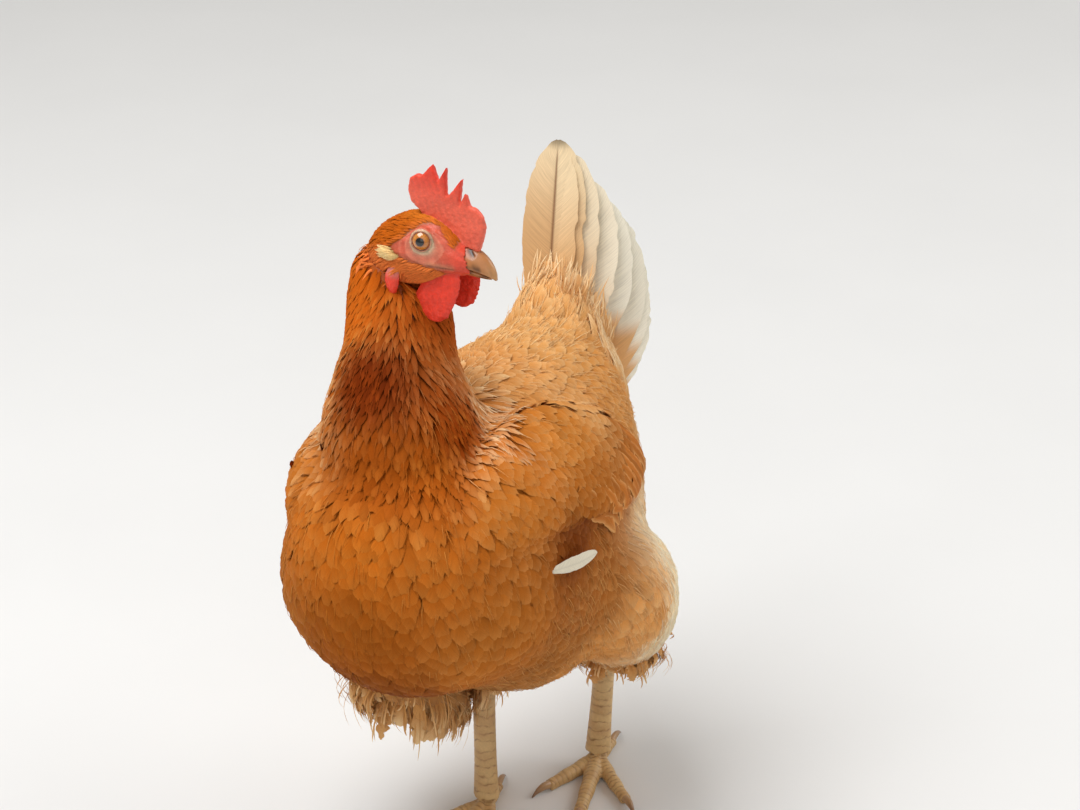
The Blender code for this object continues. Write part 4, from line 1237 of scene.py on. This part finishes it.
def make_skirt(tree, side, middle, radius, count, drop):
    """Loose feathers that hang over the top of a leg."""
    chance = np.random.default_rng(51)
    plumes, strands = [], []
    for i in range(count):
        turn = chance.uniform(0, 2 * math.pi)
        out = np.array((math.cos(turn), math.sin(turn), 0))
        start = np.array(middle) + out * radius + (0, 0, chance.uniform(-0.28, 0.28) * radius)
        root = np.array(tree.find_nearest(Vector(start))[0]) + out
        if side.startswith("hock"):     # behind the skin, where the shank stands out of it
            root = start
        run = out * chance.uniform(-3, 6) + chance.normal(0, 2.5, 3) - (0, 0, drop * chance.uniform(0.7, 1.3))
        plumes.append(plume(root, root + run, chance.uniform(2.4, 4.4), None, None, out * 4, out, seed=200 + i,
                            steps=18, columns=5, ragged=0.3, thick=0.15))
        for _ in range(SKIRT_STRANDS):
            start = root + chance.normal(0, 3, 3)
            tip = start + run * chance.uniform(0.8, 1.2) + chance.normal(0, 2, 3)
            strands.append(plume(start, tip, chance.uniform(0.3, 0.6), None, None, out * 5, out,
                                 seed=600 + len(strands), steps=8, columns=3, thick=0.1))
    plume_piece("skirt_" + side, plumes, skirt_colour)
    plume_piece("skirt_silk_" + side, strands, skirt_colour)


# ---------------------------------------------------------------- the whole coat

def triangles(mesh):
    mesh.calc_loop_triangles()
    out = np.empty(len(mesh.loop_triangles) * 3, np.int32)
    mesh.loop_triangles.foreach_get("vertices", out)
    return out.reshape(-1, 3)


# How the head's small feathers lie: place and way in the head frame, mirrored to the hen's right.
HEAD_LIES = [
    ((18, 0, 4), (-0.9, 0, 0.4)), ((5, 0, 12), (-1, 0, 0.2)), ((-15, 0, 8), (-1, 0, -0.3)),
    ((-30, 0, -8), (-0.6, 0, -1)), ((0, 14, 10), (-1, 0, -0.1)), ((-18, 15, 0), (-1, 0, -0.45)),
    ((-8, 16, -14), (-0.9, 0, -0.5)),
    ((4, 13, -14), (-0.9, 0, -0.5)), ((-10, 14, -24), (-0.5, 0, -1)), ((5, 0, -22), (-0.6, 0, -0.9)),
    ((14, 6, -14), (-1, 0, -0.3)),
]


def head_lie(p):
    """The way that the head's feathers lie, at places in the head frame."""
    rows = [(place, lie) for place, lie in HEAD_LIES] + [((a, -b, c), lie) for (a, b, c), lie in HEAD_LIES]
    places, lies = np.array([r[0] for r in rows], float), unit(np.array([r[1] for r in rows], float))
    gap = np.linalg.norm(p[:, None] - places[None], axis=2)
    return unit((1 / np.maximum(gap, 2) ** 4) @ lies)


def head_coat(p):
    """Sizes and colours of the small feathers of the head, for places in the head frame."""
    n = len(p)
    out = np.zeros((n, GUIDE_VALUES.shape[1]))
    out[:, LIE] = head_lie(p) @ TURN.T
    x, y, z = p.T
    back = smooth(-5, -30, x)
    edge = np.maximum(smooth(-13, -21, z), smooth(-22, -31, x))
    out[:, LENGTH] = 4.5 + 4 * back + 6 * edge
    out[:, WIDTH] = 0.62 + 0.25 * back + 0.3 * edge
    out[:, DEPTH] = 0.9 + 0.8 * back + 1.2 * edge
    out[:, SPACING] = 1.0 + 0.5 * back
    brow, crown = linear((184, 90, 18)), linear((216, 134, 44))
    # The throat is painted darker below the cheeks and between the wattles: painted shade under the jaw.
    cheek, shaded_throat = linear((224, 120, 58)), linear((128, 56, 12))
    above = smooth(-3, 3, z - line_height(BROW, x))[:, None]
    below = blend(cheek, shaded_throat, smooth(-20, -28, z)[:, None])
    colour = blend(below, blend(brow, crown, smooth(4, 12, z)[:, None]), above)
    colour = blend(colour, shaded_throat, smooth(8, 3, np.abs(y))[:, None] * smooth(-6, -14, z)[:, None])
    out[:, BASE] = colour
    out[:, EDGE] = np.clip(colour * 1.25, 0, 1)
    return out


EAR_AT, EAR_SIZE = (-13.2, -8.2), (3.2, 2.4)      # middle and half size of the ear's tuft, along and up
EAR_LIE = (-0.96, 0, -0.28)
EAR_TUFT = 6            # feathers in the ear's tuft for each one that would grow there
SHANK_TOP = 88          # below this the thigh's own feathers stop, as the skirts hang there
LOW_LENGTH, LOW_GAIN = 8, 1.1   # longest feather at the thigh's bottom, and its gain for each mm higher
BACK_HEIGHT, RUMP_START = 235, 60       # where the back and rump begin, up and backwards
CAPE_MIDDLE, CAPE_REACH = (-8, -75, 300), 62    # the neck's feathers spread over the shoulders this far
CAPE_TOP = 298          # above this the neck has no down under its feathers
BARE_HEAD = 34          # the head's own feathers take over this near to its middle
WISPS = 2.7             # loose strands for each feather of fluff 1
WISP_WIDTH = 0.27
ZONE_SLOTS = {"neck": "plumage_rust", "wing": "plumage_rust", "breast": "plumage_rust", "thigh": "plumage_tan",
              "tail": "plumage_cream", "back": "plumage_tan", "rump": "plumage_tan"}


def lie_at(points):
    return coat_at(points)[:, LIE]


def body_spacing(points):
    """Distance between the feathers, with none where the head's own grow."""
    local = hen_to_head(points)
    near = np.linalg.norm(points - (HEAD_AT + (-8, 0, -6)), axis=1) < BARE_HEAD
    on_head = (local[:, 0] > -30) & (local[:, 2] > -22) & near
    return np.where(on_head, NO_FEATHERS, coat_at(points)[:, SPACING])


def coat_zones(roots, group):
    """Which feathers belong to which zone of the coat."""
    zones = {
        "neck": (group == 1) | ((group == 0) & (np.linalg.norm(roots - CAPE_MIDDLE, axis=1) < CAPE_REACH)),
        "wing": (group == 5) | (group == 6),
        "thigh": (group == 3) | (group == 4),
        "tail": group == 2,
    }
    rest = ~(zones["neck"] | zones["wing"] | zones["thigh"] | zones["tail"])
    zones["back"] = rest & (roots[:, 2] > BACK_HEIGHT)
    zones["rump"] = rest & ~zones["back"] & (roots[:, 1] > RUMP_START)
    zones["breast"] = rest & ~zones["back"] & ~zones["rump"]
    return zones


def grow_body(points, faces, face_group):
    """The body's feathers, the down beneath them and the loose strands over them."""
    tree = tree_of(points, faces.tolist())
    roots, normals, picked = random_points(points, faces, body_spacing)
    thigh = (face_group[picked] == 3) | (face_group[picked] == 4)
    kept = ~(thigh & (roots[:, 2] < SHANK_TOP) & ((normals[:, 2] < -0.2) | (roots[:, 0] > 0)))
    roots, normals, group = roots[kept], normals[kept], face_group[picked[kept]]
    coat = coat_at(roots)
    for leg in (3, 4):
        mine = group == leg
        above = roots[mine, 2] - roots[mine, 2].min()
        coat[mine, LENGTH] = np.minimum(coat[mine, LENGTH], LOW_LENGTH + LOW_GAIN * above)
    uv = cell_uv(group, side_axis(normals), roots)
    zones = coat_zones(roots, group)
    for zone, mask in zones.items():
        streak = None
        if zone == "neck":
            streak = np.clip(0.3 + 0.4 * rng.normal(size=mask.sum()), 0, 0.95)
            streak = streak * smooth(1.3, 1.7, coat[mask, WIDTH])
        grow("coat_" + zone, tree, roots[mask], normals[mask], uv[mask], coat[mask], lie_at, ZONE_SLOTS[zone],
             streak=streak, lift=1.1 if zone == "wing" else 1.0, columns=5 if zone == "neck" else 7)
    covered = ~zones["neck"] | (roots[:, 2] < CAPE_TOP)
    down = coat[covered].copy()
    down[:, DEPTH] *= 0.6
    down[:, WIDTH] *= 1.3
    down[:, FLUFF] *= 0.3
    down[:, EDGE] = down[:, BASE]
    start = roots[covered] + rng.normal(0, 1.8, (len(down), 3))
    grow("coat_down", tree, start, normals[covered], uv[covered], down, lie_at, "plumage_tan", steps=5, columns=3,
         outline="round")
    wisps = np.repeat(np.arange(len(roots)), rng.poisson(coat[:, FLUFF] * WISPS))
    loose = coat[wisps].copy()
    loose[:, WIDTH] = WISP_WIDTH
    loose[:, LENGTH] *= 1.05
    loose[:, DEPTH] += 0.5
    loose[:, FLUFF] = 1.2
    loose[:, BASE] = blend(loose[:, BASE], loose[:, EDGE], rng.uniform(0.2, 1, (len(wisps), 1)))
    loose[:, EDGE] = loose[:, BASE]
    start = roots[wisps] + rng.normal(0, 1.6, (len(wisps), 3))
    grow("coat_wisps", tree, start, normals[wisps], uv[wisps], loose, lie_at, "plumage_cream", steps=5, columns=3,
         outline="lance")
    return tree


def grow_head(tree, points, faces):
    """The small feathers of the head, and the tuft over each ear."""
    # None grow on the comb, wattles or earlobes.
    head_only = (nearest_node(points, HEAD_NODES)[faces] == 0).all(1)

    def head_spacing(q):
        local = hen_to_head(q)
        return np.where(bare_face(local) > 0.4, NO_FEATHERS, head_coat(local)[:, SPACING])

    roots, normals, _ = random_points(points, faces[head_only], head_spacing)
    local = hen_to_head(roots)
    coat = head_coat(local)
    uv = cell_uv(np.full(len(roots), 7), side_axis(normals), roots)
    grow("coat_head", tree, roots, normals, uv, coat, lambda q: head_lie(hen_to_head(q)) @ TURN.T,
         "plumage_rust", steps=4, columns=3, outline="lance", spread=0.09)
    off = np.abs(local[:, (0, 2)] - EAR_AT) / EAR_SIZE
    tuft = np.repeat(np.nonzero((off < 1).all(1))[0], EAR_TUFT)
    ear = coat[tuft].copy()
    ear[:, LIE] = np.array(EAR_LIE) @ TURN.T
    ear[:, LENGTH], ear[:, WIDTH], ear[:, DEPTH], ear[:, FLUFF] = 8.5, 0.42, 3.0, 1.2
    ear[:, BASE], ear[:, EDGE] = linear((250, 208, 140)), linear((255, 232, 178))
    grow("coat_ear", tree, roots[tuft], normals[tuft], uv[tuft], ear,
         lambda q: np.broadcast_to(np.array(EAR_LIE) @ TURN.T, q.shape), "plumage_cream", steps=5, columns=3,
         outline="lance")


def build_coat(body, head, body_group):
    """All feathers that grow on the skin; returns the body's surface for those that are laid on it later."""
    points, faces = to_hen(corners(body.data)), triangles(body.data)
    tree = grow_body(points, faces, body_group[faces[:, 0]])
    head_points, head_faces = to_hen(corners(head.data)), triangles(head.data)
    both = tree_of(np.vstack((points, head_points)), faces.tolist() + (head_faces + len(points)).tolist())
    grow_head(both, head_points, head_faces)
    return tree


def build_skin():
    body = body_skin()
    body_points = to_hen(corners(body.data))
    owner = nearest_node(body_points, BODY_NODES)
    body_group = np.array(BODY_GROUPS)[owner]
    unwrap_skin(body, body_group)
    # painted shade: the skin is a darker copy of the coat's colour, for the shade in the gaps between feathers
    paint(body.data, coat_at(body_points)[:, BASE] * SKIN_PAINTED_SHADE)
    head = head_skin()
    head_points = to_hen(corners(head.data))
    label = nearest_node(head_points, HEAD_NODES)
    unwrap_skin(head, np.full(len(head_points), 7))
    paint(head.data, head_colours(head_points, label))
    return body, head, body_group


def join_skin(body, head):
    for obj in (body, head):
        smooth_shaded(obj.data)
    with bpy.context.temp_override(active_object=body, selected_editable_objects=[body, head]):
        bpy.ops.object.join()
    body.name = "skin"
    solid_piece(body, "flesh", "red_flesh", *BODY_NODES, *HEAD_NODES)


# ---------------------------------------------------------------- studio

WORLD_COLOUR, WORLD_STRENGTH = (1, 0.97, 0.9, 1), 0.37
# Lights: place in metres, watts, size in metres.
LIGHTS = {"key": ((-0.6, -0.5, 2.2), 44, 1.5), "fill": ((1.0, -2.0, 1.6), 11, 2.2),
          "rim": ((1.5, 1.5, 1.5), 20, 1.4)}
LIGHTS_AIM = Vector((0, 0, 0.2))


def build_studio():
    """Floor, sky and lights."""
    bpy.ops.mesh.primitive_plane_add(size=8, location=(0, 0, 0))
    floor = bpy.context.object
    floor.name = "floor"
    mat, tree, shader = material("floor", 0.85, 0.2)
    place = node(tree, "ShaderNodeTexCoord")
    grain = node(tree, "ShaderNodeTexNoise", Scale=6.0, Detail=3.0)
    tree.links.new(place.outputs["Object"], grain.inputs["Vector"])
    ramp = node(tree, "ShaderNodeMapRange")
    ramp.inputs["To Min"].default_value = 0.74
    ramp.inputs["To Max"].default_value = 0.78
    tree.links.new(grain.outputs["Fac"], ramp.inputs["Value"])
    tree.links.new(ramp.outputs["Result"], shader.inputs["Base Color"])
    floor.data.materials.append(mat)
    bpy.context.scene.view_settings.view_transform = "Standard"
    world = bpy.data.worlds.new("studio")
    world.use_nodes = True
    sky = world.node_tree.nodes["Background"]
    sky.inputs["Color"].default_value = WORLD_COLOUR
    sky.inputs["Strength"].default_value = WORLD_STRENGTH
    bpy.context.scene.world = world
    for name, (place, power, size) in LIGHTS.items():
        light = bpy.data.lights.new(name, "AREA")
        light.energy, light.size = power, size
        obj = new_object(name, light)
        obj.location = place
        obj.rotation_euler = (LIGHTS_AIM - Vector(place)).to_track_quat("-Z", "Y").to_euler()


CAMERA_AZIMUTH, CAMERA_ELEVATION = 26, 27       # degrees
CAMERA_AIM, CAMERA_DISTANCE = (-21, 108.3, 209.2), 1512
CAMERA_LENS, CAMERA_SENSOR = 90, 36


def build_camera():
    a, e = math.radians(CAMERA_AZIMUTH), math.radians(CAMERA_ELEVATION)
    right = Vector((math.cos(a), math.sin(a), 0))
    back = Vector((math.sin(a) * math.cos(e), -math.cos(a) * math.cos(e), math.sin(e)))
    up = back.cross(right)
    data = bpy.data.cameras.new("camera")
    data.lens, data.sensor_width, data.sensor_fit = CAMERA_LENS, CAMERA_SENSOR, "HORIZONTAL"
    data.clip_start = 0.05
    obj = new_object("camera", data)
    place = Vector(to_row(CAMERA_AIM)) + back * CAMERA_DISTANCE * MM
    obj.matrix_world = Matrix.Translation(place) @ Matrix((right, up, back)).transposed().to_4x4()
    bpy.context.scene.camera = obj


skin_body, skin_head, skin_group = build_skin()
skin_tree = build_coat(skin_body, skin_head, skin_group)
make_tail()
make_wing_plumes(skin_tree)
for side, sizes in SKIRTS.items():
    make_skirt(skin_tree, side, *sizes)
for sign, centre, axis in eye_axes():
    make_eye("left" if sign > 0 else "right", centre, axis)
make_beak("bill_upper", BEAK_UPPER, True, "beak_upper")
make_beak("bill_lower", BEAK_LOWER, False, "beak_lower")
make_leg("left", 1)
make_leg("right", -1)
join_skin(skin_body, skin_head)
build_studio()
build_camera()
